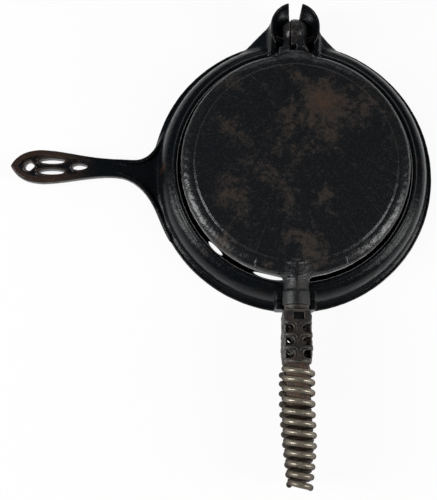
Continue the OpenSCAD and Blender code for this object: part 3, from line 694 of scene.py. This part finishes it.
def add_hinge(field, block, low, high, root, ear_t, notch):
    """The shoulder behind the plate, and the ear between x = low and x = high: a part of the
    ball, and of the barrel that spreads to the root as (1 - t)^1.6, with the pin's bore."""
    cut, x, y, z = block.near((-34, 76, -13), (34, 131, 13))
    spread = ease(y, PLATE_R - 1, SHOULDER_END + 1)
    side = np.where(x < 0, SHOULDER_LEFT, SHOULDER_RIGHT)
    half = SHOULDER_W + (side - SHOULDER_W) * spread
    top = SHOULDER_T - SHOULDER_FALL * ease(y, STEP_R + 2, SHOULDER_END + 1)
    form = meet(np.abs(x) - half, np.hypot(x, z) - SHOULDER_W + 0.3, 1.4)
    arch = top * np.sqrt(np.clip(1 - (np.abs(x) / (half + 0.6)) ** 2.6, 0, 1))
    form = meet(form, 0.75 * (z - arch), 1.6)
    form = meet(meet(form, 86 - y, 2), PART_GAP - z, 0.5)
    from_pin = np.hypot(y - BALL_Y, z)
    form = meet(form, y - BALL_Y, 1)
    form = meet(form, EAR_REACH + BALL_GAP - from_pin, 1.0)
    body = join(field[cut], form, 4.5)
    ball = np.sqrt(x**2 + (y - BALL_Y) ** 2 + z**2) - BALL_R
    t = np.clip((y - SHOULDER_END) / (EAR_REACH - BALL_R / 2), 0, 1)
    cone = BALL_R * 0.87 + (root - BALL_R * 0.87) * (1 - t) ** 1.6
    barrel = meet(np.hypot(x, z) - cone, from_pin - EAR_REACH, 0.6)
    barrel = meet(meet(barrel, np.abs(z) - ear_t, 1.6), y - BALL_Y + 1, 1)
    ear = join(ball, barrel, 2.0)
    ear = meet(meet(ear, x - high, 0.8), low - x, 0.8)
    if notch:
        gap = np.maximum(np.maximum(high - NOTCH_W - x, y - SHOULDER_END - NOTCH_L), z + PART_GAP)
        ear = carve(ear, gap, 0.7)
    bridge = meet(np.hypot(x, z) - root, np.abs(y - SHOULDER_END - 0.5) - 3.2, 0.6)
    bridge = meet(meet(bridge, z - END_T + 1.0, 0.8), PART_GAP - z, 0.5)
    bridge = meet(meet(bridge, x - high, 0.8), low - x, 0.8)
    ear = carve(join(ear, bridge, 0.8), np.hypot(y - BALL_Y, z) - PIN_R, 0.6)
    field[cut] = join(body, ear, 1.0)
    return field


def plate_casting(name, high, root, ear_t, notch, place):
    """One plate with its neck, tang and shoulder, and its ear that ends at x = high."""
    block = Block((-96.6, -133.6, -11.6), (96.6, 129, 12.6), PLATE_STEP)
    radius = np.hypot(block.x, block.y)
    field = turned(plate_profile(), radius, block.z)
    field = add_pad(field, block)
    field = add_neck(field, block)
    field = add_hinge(field, block, -2 * BALL_R, high, root, ear_t, notch)
    field = add_cavity(field, block)
    return casting(name, block, field, place, rough=0.09)


def as_upper(points):
    """From the height above the parting plane to the place of the upper half."""
    return points + (0, 0, JOINT_Z)


def as_lower(points):
    """The upper half turned over about the Y axis, for the lower half."""
    return points * (-1, 1, -1) + (0, 0, JOINT_Z)


# ---- shanks ----


def shank_casting(name, open_side, place):
    """The pierced cage between neck and grip. Its section is a box with round corners, whose
    half-width, half-height and middle height change along Y. Round each air hole its outer
    face is sunk a little. The air holes of the inner wall are wide on one side and away
    from the neck only."""
    block = Block((-12.8, -167.4, -1.6), (12.8, -117.2, 27.2), FINE_STEP)
    x, y, z = block.x, block.y, block.z
    along = (-y - NECK_END) / (SHANK_END - NECK_END)
    middle = NECK_MID + (GRIP_H - NECK_MID) * along
    half_h = NECK_MID - 0.4 + (SHANK_R - NECK_MID + 0.4) * along
    start = REST_FRONT + 0.9
    width = np.interp(
        -y,
        [NECK_END, start, start + 5, 157, SHANK_END],
        [10.3, 10.3, SHANK_W, SHANK_W, SHANK_R],
    )
    corner = np.interp(-y, [REST_FRONT, start + 5, 156, SHANK_END], [5.0, 4.4, 5.5, SHANK_R - 0.3])

    def section(inset):
        side = np.maximum(np.abs(x) - width + inset + corner, 0)
        height = np.maximum(np.abs(z - middle) - half_h + inset + corner, 0)
        return np.hypot(side, height) - corner

    outer = section(0)
    cage = meet(outer, np.abs(y + (NECK_END + SHANK_END) / 2) - (SHANK_END - NECK_END) / 2, 1.2)
    collar = np.hypot(x, z) - NECK_R
    cage = np.where(-y < start, np.maximum(cage, collar), cage)
    cage = meet(cage, 0.35 - z, 0.5)
    room = np.maximum(section(CAGE_WALL), np.abs(y + ROOM_Y) - ROOM_HALF)
    cage = carve(cage, room, 1.0)
    holes = np.full_like(cage, 9.0)
    cells = np.full_like(cage, 9.0)
    reach = (HOLE_OVER - HOLE_DX) / 2
    hole_r = HOLE_D / 2
    dx = np.abs(x) - HOLE_DX / 2
    for row in range(3):
        dy = np.abs(y + NECK_END + HOLE_FIRST + row * HOLE_DY)
        round_end = np.hypot(dx - hole_r, dy) - hole_r
        square_end = np.maximum(np.abs(dx - (reach + hole_r) / 2) - (reach - hole_r) / 2, dy - hole_r)
        vent_y = y + NECK_END + HOLE_FIRST + row * HOLE_DY - VENT_SHIFT
        choked = np.where(x * open_side < 0, 1.5, 1.1 if row == 0 else -0.5)
        vent = np.hypot(dx - hole_r + 0.6, vent_y) - VENT_D / 2 + choked
        holes = np.minimum(holes, np.where(z > middle, np.minimum(round_end, square_end), vent))
        cell = meet(np.abs(dx - 3.0) - CELL_HALF_W, dy - CELL_HALF_L, 2.4)
        cells = np.minimum(cells, np.maximum(cell, middle - z))
    cage = carve(cage, np.maximum(cells, -CELL_DEPTH - outer), 0.7)
    cage = carve(cage, holes, 0.9)
    window_y = NECK_END + WINDOW_AT + WINDOW_L / 2
    window = meet(np.abs(x - WINDOW_X) - WINDOW_W / 2, np.abs(y + window_y) - WINDOW_L / 2, 0.8)
    cage = carve(cage, np.maximum(window, NECK_MID - z), 0.8)
    return casting(name, block, cage.astype(np.float32), place, rough=0.16, most=MOST_TRIANGLES // 2)


# ---- grips: screw core and coil ----


def carried(path, across, up, outline):
    """Points of an outline carried along a path: path + outline x * across + outline y * up."""
    return path[:, None] + outline[..., :1] * across[:, None] + outline[..., 1:] * up[:, None]


def tube_faces(rings, sides):
    """Faces of a tube of closed rings, and of the fans that close its two ends."""
    ring = np.arange(rings - 1)[:, None] * sides
    side = np.arange(sides)[None]
    after = (side + 1) % sides
    wall = np.stack([ring + side, ring + sides + side, ring + sides + after, ring + after], -1)
    first = rings * sides
    tail = first - sides
    start = np.stack([0 * side[0] + first, side[0], after[0]], 1)
    finish = np.stack([0 * side[0] + first + 1, tail + after[0], tail + side[0]], 1)
    return wall.reshape(-1, 4).tolist() + start.tolist() + finish.tolist()


def coil_radius(turns):
    """Radius of the coil after some turns: even, then drawn in towards the tip."""
    drawn = np.clip((turns - COIL_TURNS + TIP_TURNS) / TIP_TURNS, 0, 1)
    return COIL_R - (COIL_R - TIP_R) * drawn**1.15


def coil_drift(turns):
    """How far the winding is off its even pitch: the first turns and the tip sit closer."""
    first = 1.1 * ease(turns, 0.4, 1.4) * (1 - ease(turns, 2.2, 4.2))
    return first + 0.1 * np.sin(2.3 * turns) + 1.0 * np.exp(-(((turns - COIL_TURNS + 0.4) / 0.4) ** 2))


def grip_coil(name, side_lean, place):
    """Round wire wound in a helix: (R cos a, -y0 - pitch a / 360, R sin a) about the grip's
    axis, with domed ends. The rings lie square to the wire. The tip is side_lean off to +X."""
    per_turn, sides = ((48, 20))
    wound = COIL_TURNS + COIL_TAIL
    turns = np.linspace(0, wound, int(per_turn * wound) + 1)
    angle = np.radians(COIL_START - 360 * turns)
    radius = coil_radius(turns)
    shift = side_lean * ease(turns, COIL_TURNS * 0.28, COIL_TURNS * 0.75)
    path = np.stack(
        [
            radius * np.cos(angle) + shift,
            -COIL_Y - COIL_PITCH * turns + coil_drift(turns),
            GRIP_H + radius * np.sin(angle),
        ],
        1,
    )
    tangent = np.gradient(path, axis=0)
    tangent /= np.linalg.norm(tangent, axis=1)[:, None]
    out = np.stack([np.cos(angle), 0 * angle, np.sin(angle)], 1)
    out -= (out * tangent).sum(1)[:, None] * tangent
    out /= np.linalg.norm(out, axis=1)[:, None]
    side = np.cross(tangent, out)
    dome = np.radians(np.linspace(0, 84, DOME_RINGS))
    shrink = np.concatenate([np.cos(dome)[::-1], np.ones(len(path)), np.cos(dome)])
    slide = np.concatenate([-np.sin(dome)[::-1], np.zeros(len(path)), np.sin(dome)]) * WIRE_R
    last = len(path) - 1
    pick = np.concatenate([np.zeros(DOME_RINGS, int), np.arange(last + 1), np.full(DOME_RINGS, last)])
    centre = path[pick] + slide[:, None] * tangent[pick]
    around = 2 * math.pi * np.arange(sides) / sides
    outline = np.stack([np.cos(around), np.sin(around)], -1)[None] * (WIRE_R * shrink)[:, None, None]
    points = carried(centre, out[pick], side[pick], outline)
    piece = closed_tube(name, points, place)
    outward = np.append(np.repeat(np.cos(around)[None], len(pick), 0).ravel(), [0, 0])
    piece.data.attributes.new("outward", "FLOAT", "POINT").data.foreach_set("value", outward)
    return piece


def closed_tube(name, points, place):
    """The mesh of a tube of rings, with each end ring drawn to its middle point."""
    rings, sides = points.shape[:2]
    ends = np.stack([points[0].mean(0), points[-1].mean(0)])
    flat = np.concatenate([points.reshape(-1, 3), ends])
    mesh = bpy.data.meshes.new(name)
    mesh.from_pydata((place(flat) * MM).tolist(), [], tube_faces(rings, sides))
    mesh.polygons.foreach_set("use_smooth", np.ones(len(mesh.polygons), bool))
    mesh.update()
    piece = bpy.data.objects.new(name, mesh)
    bpy.context.collection.objects.link(piece)
    return piece


def grip_core(name, place):
    """Collar and screw core turned about the grip's axis. Between the coil's turns its radius
    stands proud: core + ridge * (1 - cos of the phase between turns) / 2."""
    sides = 72
    around = 2 * math.pi * np.arange(sides) / sides
    y = np.concatenate(
        [
            [SHANK_END - 0.4, SHANK_END, SHANK_END + 0.25, COLLAR_Y - 0.3, COLLAR_Y, COLLAR_Y + 0.2],
            np.arange(COLLAR_Y + 0.7, COLLAR_Y + CORE_LEN - 2, 0.45),
            COLLAR_Y + CORE_LEN - np.array([1.6, 1.0, 0.5, 0.1, 0]),
        ]
    )
    body = np.full(len(y), CORE_R)
    body[:6] = [SHANK_R - 0.6, SHANK_R - 0.3, SHANK_R - 0.2, SHANK_R - 0.8, SHANK_R - 1.2, CORE_R + 0.1]
    body[-5:] = [CORE_R, CORE_R - 0.4, CORE_R - 1, CORE_R - 2, CORE_R - 4]
    turn = (y + coil_drift((y - COIL_Y) / COIL_PITCH) - COIL_Y) / COIL_PITCH
    phase = 2 * math.pi * turn[:, None] - (math.radians(COIL_START) - around[None])
    ridge = RIDGE_H * (1 - np.cos(phase)) / 2
    core_end = COLLAR_Y + CORE_LEN
    threaded = ease(y, COLLAR_Y + 0.4, COLLAR_Y + 2) * (1 - ease(y, core_end - 3, core_end - 1))
    radius = body[:, None] + threaded[:, None] * ridge
    points = np.stack(
        [radius * np.cos(around), -y[:, None] + 0 * radius, GRIP_H + radius * np.sin(around)], -1
    )
    return closed_tube(name, points, place)


# ---- paint ----


def operator(operation, swapped=False):
    """A method of Value that adds one Math node, with its two numbers swapped for 2 * value."""

    def apply(value, other):
        return value.math(operation, *((other, value) if swapped else (value, other)))

    return apply


class Value:
    """A number in a shader; arithmetic on it adds Math nodes."""

    def __init__(self, paint, socket):
        self.paint = paint
        self.socket = socket

    def math(self, operation, first, second):
        return self.paint.node("ShaderNodeMath", {"operation": operation}, {0: first, 1: second})

    __add__, __radd__ = operator("ADD"), operator("ADD", True)
    __mul__, __rmul__ = operator("MULTIPLY"), operator("MULTIPLY", True)
    __sub__ = operator("SUBTRACT")
    __truediv__ = operator("DIVIDE")
    __pow__ = operator("POWER")
    most = operator("MAXIMUM")


class Paint:
    """One material's node tree. Every node is made by node()."""

    def __init__(self, name):
        self.material = bpy.data.materials.new(name)
        self.material.use_nodes = True
        self.tree = self.material.node_tree
        self.tree.nodes.clear()
        self.where = self.node("ShaderNodeTexCoord", output="Object")

    def node(self, kind, settings=None, inputs=None, output=0):
        node = self.tree.nodes.new(kind)
        for key, value in (settings or {}).items():
            setattr(node, key, value)
        for key, value in (inputs or {}).items():
            if isinstance(value, Value):
                self.tree.links.new(value.socket, node.inputs[key])
            else:
                node.inputs[key].default_value = value
        return Value(self, node.outputs[output]) if len(node.outputs) else None

    def noise(self, size_mm, detail=3.0, roughness=0.55, distortion=0.0, shift=0.0):
        """Noise whose features are about size_mm across."""
        where = self.moved(shift) if shift else self.where
        return self.node(
            "ShaderNodeTexNoise",
            inputs={
                "Vector": where,
                "Scale": 1 / (size_mm * MM),
                "Detail": detail,
                "Roughness": roughness,
                "Distortion": distortion,
            },
        )

    def moved(self, shift):
        """The place of the shaded point, moved off so that a noise differs there."""
        offset = (shift, shift * 0.7, shift * 1.3)
        return self.node("ShaderNodeVectorMath", {"operation": "ADD"}, {0: self.where, 1: offset})

    def ease(self, value, start, end, low=0.0, high=1.0):
        """A smooth step of value between start and end, scaled from low to high."""
        return self.node(
            "ShaderNodeMapRange",
            {"interpolation_type": "SMOOTHSTEP"},
            {"Value": value, "From Min": start, "From Max": end, "To Min": low, "To Max": high},
        )

    def colour(self, mask, first, second):
        """The first colour where mask is 0 and the second where it is 1."""
        mixed = {0: mask, 6: rgba(first), 7: rgba(second)}
        return self.node("ShaderNodeMix", {"data_type": "RGBA"}, mixed, output=2)

    def attribute(self, name):
        return self.node("ShaderNodeAttribute", {"attribute_name": name}, output="Fac")

    def split(self):
        """The three coordinates as numbers."""
        place = {0: self.where}
        return [self.node("ShaderNodeSeparateXYZ", inputs=place, output=axis) for axis in range(3)]

    def spots(self, places, uneven):
        """1 inside soft spots given by x, y and reach in millimetres, with uneven edges."""
        x, y, _ = self.split()
        total = None
        for at_x, at_y, reach in places:
            dx, dy = x - at_x * MM, y - at_y * MM
            away = (dx * dx + dy * dy) ** 0.5 / (reach * MM)
            spot = self.ease(away + (uneven - 0.5) * 1.8, 0.0, 1.4, 1.0, 0.0)
            total = spot if total is None else total.most(spot)
        return total

    def bump(self, height, distance_mm, strength=1.0, normal=None):
        inputs = {"Height": height, "Distance": distance_mm * MM, "Strength": strength}
        if normal is not None:
            inputs["Normal"] = normal
        return self.node("ShaderNodeBump", inputs=inputs)

    def finish(self, **inputs):
        """The surface shader and the output; an input's name has _ for a space."""
        named = {key.replace("_", " "): value for key, value in inputs.items()}
        shader = self.node("ShaderNodeBsdfPrincipled", inputs=named)
        self.node("ShaderNodeOutputMaterial", inputs={"Surface": shader})
        return self.material


def rgba(colour):
    return colour if isinstance(colour, Value) else (*colour, 1.0)


def seasoned_iron(
    name, dark, brown, share, patch_mm, gloss, shine, grey, shift=0.0, warm=(), worn_border=False
):
    """Black cast iron under burnt-on oil: bluish black, brown where it wore thin or rusted a
    little, with a sandy grain and soft lumps. Grey specks keyed to the grain are painted glints.
    The outer edges are bare grey, worn and also a painted highlight, and corners and creases are
    painted darker as painted shade. In the warm places, given by x, y and reach in millimetres,
    the brown is wider and lighter. It is duller in front. With worn_border, the raised border of
    the side handle's end is brown; without, the front is painted darker as painted shade."""
    paint = Paint(name)
    patches = paint.noise(patch_mm, 5, 0.62, 0.5, shift + 0.31)
    small = paint.noise(patch_mm * 0.13, 4, 0.62, 0.3, shift + 0.77)
    grain = paint.noise(1.3, 4, 0.62)
    lumps = paint.noise(4.2, 3, 0.5)
    edge = paint.attribute("edge")
    mixed = patches * 0.62 + small * 0.26 + grain * 0.12
    heat = paint.spots(warm, patches)
    worn = paint.ease(mixed + heat * 0.09, 0.54 - share, 0.66 - share)
    base = paint.colour(worn, dark, brown)
    rust = paint.ease(mixed + heat * 0.11, 0.57, 0.74)
    base = paint.colour(rust * 0.75, base, (2.6 * brown[0], 1.6 * brown[1], 0.95 * brown[2]))
    if worn_border:
        x, _, z = paint.split()
        border = paint.ease(z + (grain - 0.5) * (1.6 * MM), 13.9 * MM, 14.6 * MM)
        border = border * paint.ease(x, -0.205, -0.165, 1.0, 0.0)
        base = paint.colour(border * (0.35 + small), base, (0.034, 0.021, 0.0155))
    # Painted glints: grey specks keyed to the grain stand in for the sparkle of the cast skin; grey
    # sets their share.
    painted_glint = paint.ease(grain, 0.50, 0.68)
    base = paint.colour(painted_glint * grey, base, (0.050, 0.048, 0.046))
    pit = paint.ease(grain, 0.30, 0.44, 1.0, 0.0)
    base = paint.colour(pit * 0.55, base, tuple(0.4 * c for c in dark))
    # Outer edges are lighter grey: worn bare metal, and also a painted highlight along the edges.
    edge_wear_and_highlight = paint.ease(edge + (grain - 0.5) * 1.4, 0.25, 0.95)
    base = paint.colour(edge_wear_and_highlight * 0.5, base, (0.060, 0.052, 0.045))
    # Painted shade: corners and creases, where the edge attribute is below 0, are painted darker.
    corner_shade = paint.ease(edge * -1 + (small - 0.5) * 0.6, 0.15, 0.7)
    base = paint.colour(corner_shade * 0.7, base, tuple(0.35 * c for c in dark))
    _, y, _ = paint.split()
    front = paint.ease(y, -0.104, -0.096, 1.0, 0.0)
    # Painted shade: without worn_border, the front beyond y = -0.1 m, a plate's neck and tang, is
    # painted darker.
    if not worn_border:
        base = paint.colour(front * 0.55, base, (0.0035, 0.0042, 0.0050))
    rough = paint.ease(worn * 0.6 + small * 0.4 + front * 0.5, 0.1, 1.3, gloss, gloss + 0.35)
    normal = paint.bump(lumps + small * 0.6, 0.45, 0.5)
    normal = paint.bump(grain, 0.30, 0.55, normal)
    return paint.finish(Base_Color=base, Roughness=rough, Specular_IOR_Level=shine, Normal=normal)


def bare_iron(name):
    """Dark brown unseasoned iron with a dull, pitted skin, grey worn edges that are also a painted
    highlight, and corners and creases painted darker as painted shade.
    """
    paint = Paint(name)
    patches = paint.noise(6, 4, 0.6, 0.3)
    small = paint.noise(1.1, 4, 0.65)
    edge = paint.attribute("edge")
    base = paint.colour(paint.ease(patches, 0.4, 0.62), (0.014, 0.0125, 0.012), (0.036, 0.027, 0.021))
    # Outer edges are lighter grey: worn bare metal, and also a painted highlight along the edges.
    edge_wear_and_highlight = paint.ease(edge + (small - 0.5) * 0.7, 0.1, 0.9)
    base = paint.colour(edge_wear_and_highlight * 0.6, base, (0.12, 0.108, 0.095))
    # Painted shade: corners and creases, where the edge attribute is below 0, are painted darker.
    corner_shade = paint.ease(edge * -1 + (small - 0.5) * 0.5, 0.05, 0.5)
    base = paint.colour(corner_shade * 0.85, base, (0.005, 0.0042, 0.004))
    rough = paint.ease(small, 0.3, 0.7, 0.34, 0.56)
    normal = paint.bump(small, 0.25, 0.6)
    return paint.finish(Base_Color=base, Roughness=rough, Metallic=0.2, Normal=normal)


def rusty_iron(name):
    """Brown rust with darker and orange patches."""
    paint = Paint(name)
    patches = paint.noise(3.5, 4, 0.65)
    small = paint.noise(0.6, 4, 0.6)
    base = paint.colour(paint.ease(patches, 0.36, 0.60), (0.085, 0.042, 0.022), (0.022, 0.015, 0.012))
    base = paint.colour(paint.ease(small, 0.55, 0.75) * 0.5, base, (0.15, 0.07, 0.032))
    normal = paint.bump(small + patches, 0.25, 0.8)
    return paint.finish(Base_Color=base, Roughness=0.75, Metallic=0.0, Normal=normal)


def coil_steel(name):
    """Worn plated steel wire, grey-brown, with dark grime in streaks. Each turn is painted dark on
    its side towards the core, and each coil on its flanks and its half towards the parting plane,
    as painted shade."""
    paint = Paint(name)
    streaks = paint.noise(2.6, 5, 0.65, 0.6)
    small = paint.noise(0.8, 3, 0.6)
    outward = paint.attribute("outward") + (streaks - 0.5) * 2.2
    # Painted shade: the side of each turn towards the core is darkened.
    inner = paint.ease(outward, -0.35, 0.75, 1.0, 0.0)
    _, _, z = paint.split()
    from_seam = z / MM - JOINT_Z
    far = (from_seam * from_seam) ** 0.5
    # Painted shade: each coil's flanks and its half towards the parting plane are darkened; only its
    # top keeps the clean colour.
    flank_shade = paint.ease(far, GRIP_H + 2, GRIP_H + 12, 1.0, 0.0)
    # Mask of grime in streaks and of painted shade; it also lowers the metal and raises the roughness.
    grime_and_shade = (inner * 0.9).most(paint.ease(streaks, 0.52, 0.68) * 0.8).most(flank_shade)
    base = paint.colour(grime_and_shade, (0.270, 0.240, 0.190), (0.030, 0.021, 0.014))
    rough = paint.ease(grime_and_shade + small * 0.4, 0.1, 1.1, 0.29, 0.55)
    metal = paint.ease(grime_and_shade, 0.2, 1.0, 0.6, 0.0)
    normal = paint.bump(small + streaks, 0.16, 0.45)
    return paint.finish(
        Base_Color=base, Roughness=rough, Metallic=metal, Specular_IOR_Level=0.12, Normal=normal
    )


def plain_steel(name):
    """Dark worn steel of the pin and the rivets."""
    paint = Paint(name)
    small = paint.noise(0.8, 4, 0.6)
    base = paint.colour(paint.ease(small, 0.4, 0.7), (0.10, 0.085, 0.07), (0.035, 0.026, 0.02))
    normal = paint.bump(small, 0.08, 0.5)
    return paint.finish(Base_Color=base, Roughness=0.45, Metallic=0.6, Normal=normal)


def pale_floor(name):
    """Plain pale paper. The camera sees it nearly white with a faint shadow; under the ring the camera
    sees it black, as painted shade, except at two painted lit patches in front on the left."""
    paint = Paint(name)
    x, y, _ = paint.split()
    away = (x * x + y * y) ** 0.5
    around = y.math("ARCTAN2", y, x) * (180 / math.pi)
    # Painted shade: inside the ring's radius the camera sees the floor black.
    shade = paint.ease(away, (PAINTED_SHADE_R - 0.5) * MM, (PAINTED_SHADE_R + 0.5) * MM, 1.0, 0.0)
    # Painted light: two patches under the ring stay white to the camera, though no light reaches them.
    for middle, half, radius in PAINTED_LIT_GAPS:
        beside = (around - middle) / half
        aside = (away - radius * MM) / (PAINTED_LIT_HALF * MM)
        shade = shade * paint.ease(beside * beside + aside * aside, 0.85, 1.15)
    paper = paint.node("ShaderNodeBsdfDiffuse", inputs={"Color": (0.9, 0.9, 0.9, 1.0)})
    white = paint.node("ShaderNodeEmission", inputs={"Color": (1.0, 1.0, 1.0, 1.0), "Strength": 1.0})
    # The black sheet of painted shade.
    black = paint.node("ShaderNodeEmission", inputs={"Color": (0.0, 0.0, 0.0, 1.0)})
    seen = paint.node("ShaderNodeLightPath", output="Is Camera Ray")
    mirrored = paint.node("ShaderNodeLightPath", output="Is Glossy Ray")
    passed = paint.node("ShaderNodeLightPath", output="Is Transmission Ray")
    shown = seen.most(mirrored).most(passed)
    bright = paint.node("ShaderNodeMixShader", inputs={0: shown * 0.92, 1: paper, 2: white})
    # For camera rays, the painted shade replaces the floor where the mask is 1.
    floor_shader = paint.node("ShaderNodeMixShader", inputs={0: seen * shade, 1: bright, 2: black})
    paint.node("ShaderNodeOutputMaterial", inputs={"Surface": floor_shader})
    return paint.material


# ---- the object ----

iron_black = seasoned_iron(
    "black_iron", (0.0026, 0.0038, 0.0052), (0.015, 0.0098, 0.0072), -0.05, 38, 0.22, 0.14, 0.10,
    warm=((-234, 0, 26), (-210, 12, 20), (-210, -12, 20), (-112, -2, 9), (29, -111, 18), (100, 70, 12)),
    worn_border=True,
)
iron_plate = seasoned_iron(
    "plate_iron", (0.0048, 0.0062, 0.0078), (0.0200, 0.0158, 0.0132), 0.04, 30, 0.25, 0.42, 0.22, 0.5,
    warm=((2, 22, 44), (20, 50, 26), (-50, -28, 26), (3, 110, 20), (-56, -70, 14), (-60, 30, 24)),
)
iron_bare = bare_iron("bare_iron")
iron_rusty = rusty_iron("rusty_iron")
steel_plain = plain_steel("plain_steel")
steel_coil = coil_steel("coil_steel")


def dress(piece, body, node, material):
    """Puts a piece in place of a node: its body and its material."""
    piece.data.materials.clear()
    piece.data.materials.append(material)
    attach(piece, body)
    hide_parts(node)


dress(base_casting(), "stand", "base", iron_black)
HIGH_UPPER = SEAM_X - SEAM_GAP / 2
HIGH_LOWER = -SEAM_X - SEAM_GAP / 2
upper = plate_casting(
    "upper_plate_casting", HIGH_UPPER, UPPER_EAR_ROOT, UPPER_EAR_HALF, False, as_upper
)
dress(upper, "upper_half", "upper_plate", iron_plate)
lower = plate_casting(
    "lower_plate_casting", HIGH_LOWER, LOWER_EAR_ROOT, LOWER_EAR_HALF, True, as_lower
)
dress(lower, "lower_half", "lower_plate", iron_plate)
for half, place, open_side, lean in (
    ("upper", as_upper, -1, TIP_LEAN),
    ("lower", as_lower, 1, -TIP_LEAN - LOWER_TIP_EXTRA),
):
    body = half + "_half"
    shank = shank_casting(half + "_shank_cage", open_side, place)
    dress(shank, body, half + "_shank", iron_bare)
    dress(grip_core(half + "_screw_core", place), body, half + "_core", iron_rusty)
    dress(grip_coil(half + "_grip_coil", lean, place), body, half + "_coil", steel_coil)
for node in ("hinge_pin", "upper_rivet", "lower_rivet"):
    for part_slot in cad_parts[node].material_slots:
        part_slot.material = steel_plain

# ---- floor, light and camera ----


def plane(name, size, height):
    """A flat square about the origin."""
    half = size / 2
    corners = ((-half, -half), (half, -half), (half, half), (-half, half))
    points = np.array([(x, y, height) for x, y in corners])
    return mesh_object(name, points, np.array([[0, 1, 2, 3]]))


floor = plane("floor", 12.0, -0.0002)
floor.data.materials.append(pale_floor("pale_floor"))


def soft_light(name, place, aim, width, height, watts):
    """A softbox at place that faces aim."""
    light = bpy.data.lights.new(name, "AREA")
    light.shape = "RECTANGLE"
    light.size = width
    light.size_y = height
    light.energy = watts
    lamp = bpy.data.objects.new(name, light)
    lamp.location = place
    lamp.rotation_euler = (Vector(aim) - Vector(place)).to_track_quat("-Z", "Y").to_euler()
    bpy.context.collection.objects.link(lamp)


soft_light("left_softbox", (-1.15, -0.25, 0.80), (0, 0, 0), 0.45, 1.0, 18)
soft_light("right_softbox", (1.15, -0.35, 0.80), (0, 0, 0), 0.45, 1.0, 14)
soft_light("back_softbox", (0.1, 1.5, 0.9), (0, 0, 0), 1.2, 0.4, 2.5)

world = bpy.data.worlds.new("studio")
bpy.context.scene.world = world
world.use_nodes = True
world.node_tree.nodes["Background"].inputs["Color"].default_value = (1, 1, 1, 1)
world.node_tree.nodes["Background"].inputs["Strength"].default_value = 0.07

VIEW_HEIGHT = math.radians(79.5)
VIEW_TURN = math.radians(1.76)
VIEW_ROLL = math.radians(2.4)
LENS_PX = 900.0
FRAME_PX = 500.0
ORIGIN_IN_VIEW = (61.0, 68.0, 782.0)

ahead = Vector((0, math.cos(VIEW_HEIGHT), -math.sin(VIEW_HEIGHT)))
right = Vector((1, 0, 0))
turn = Matrix.Rotation(-VIEW_TURN, 3, "Z")
ahead, right = turn @ ahead, turn @ right
up = right.cross(ahead)
place = -(right * ORIGIN_IN_VIEW[0] + up * ORIGIN_IN_VIEW[1] + ahead * ORIGIN_IN_VIEW[2]) * MM
across = right * math.cos(VIEW_ROLL) + up * math.sin(VIEW_ROLL)
upward = up * math.cos(VIEW_ROLL) - right * math.sin(VIEW_ROLL)
camera_data = bpy.data.cameras.new("camera")
camera_data.sensor_width = 36.0
camera_data.lens = LENS_PX * camera_data.sensor_width / FRAME_PX
camera_data.clip_start = 0.01
camera_data.clip_end = 20.0
camera = bpy.data.objects.new("camera", camera_data)
facing = Matrix((across, upward, -ahead)).transposed().to_4x4()
camera.matrix_world = Matrix.Translation(place) @ facing
bpy.context.collection.objects.link(camera)
bpy.context.scene.camera = camera
bpy.context.scene.view_settings.view_transform = "Standard"
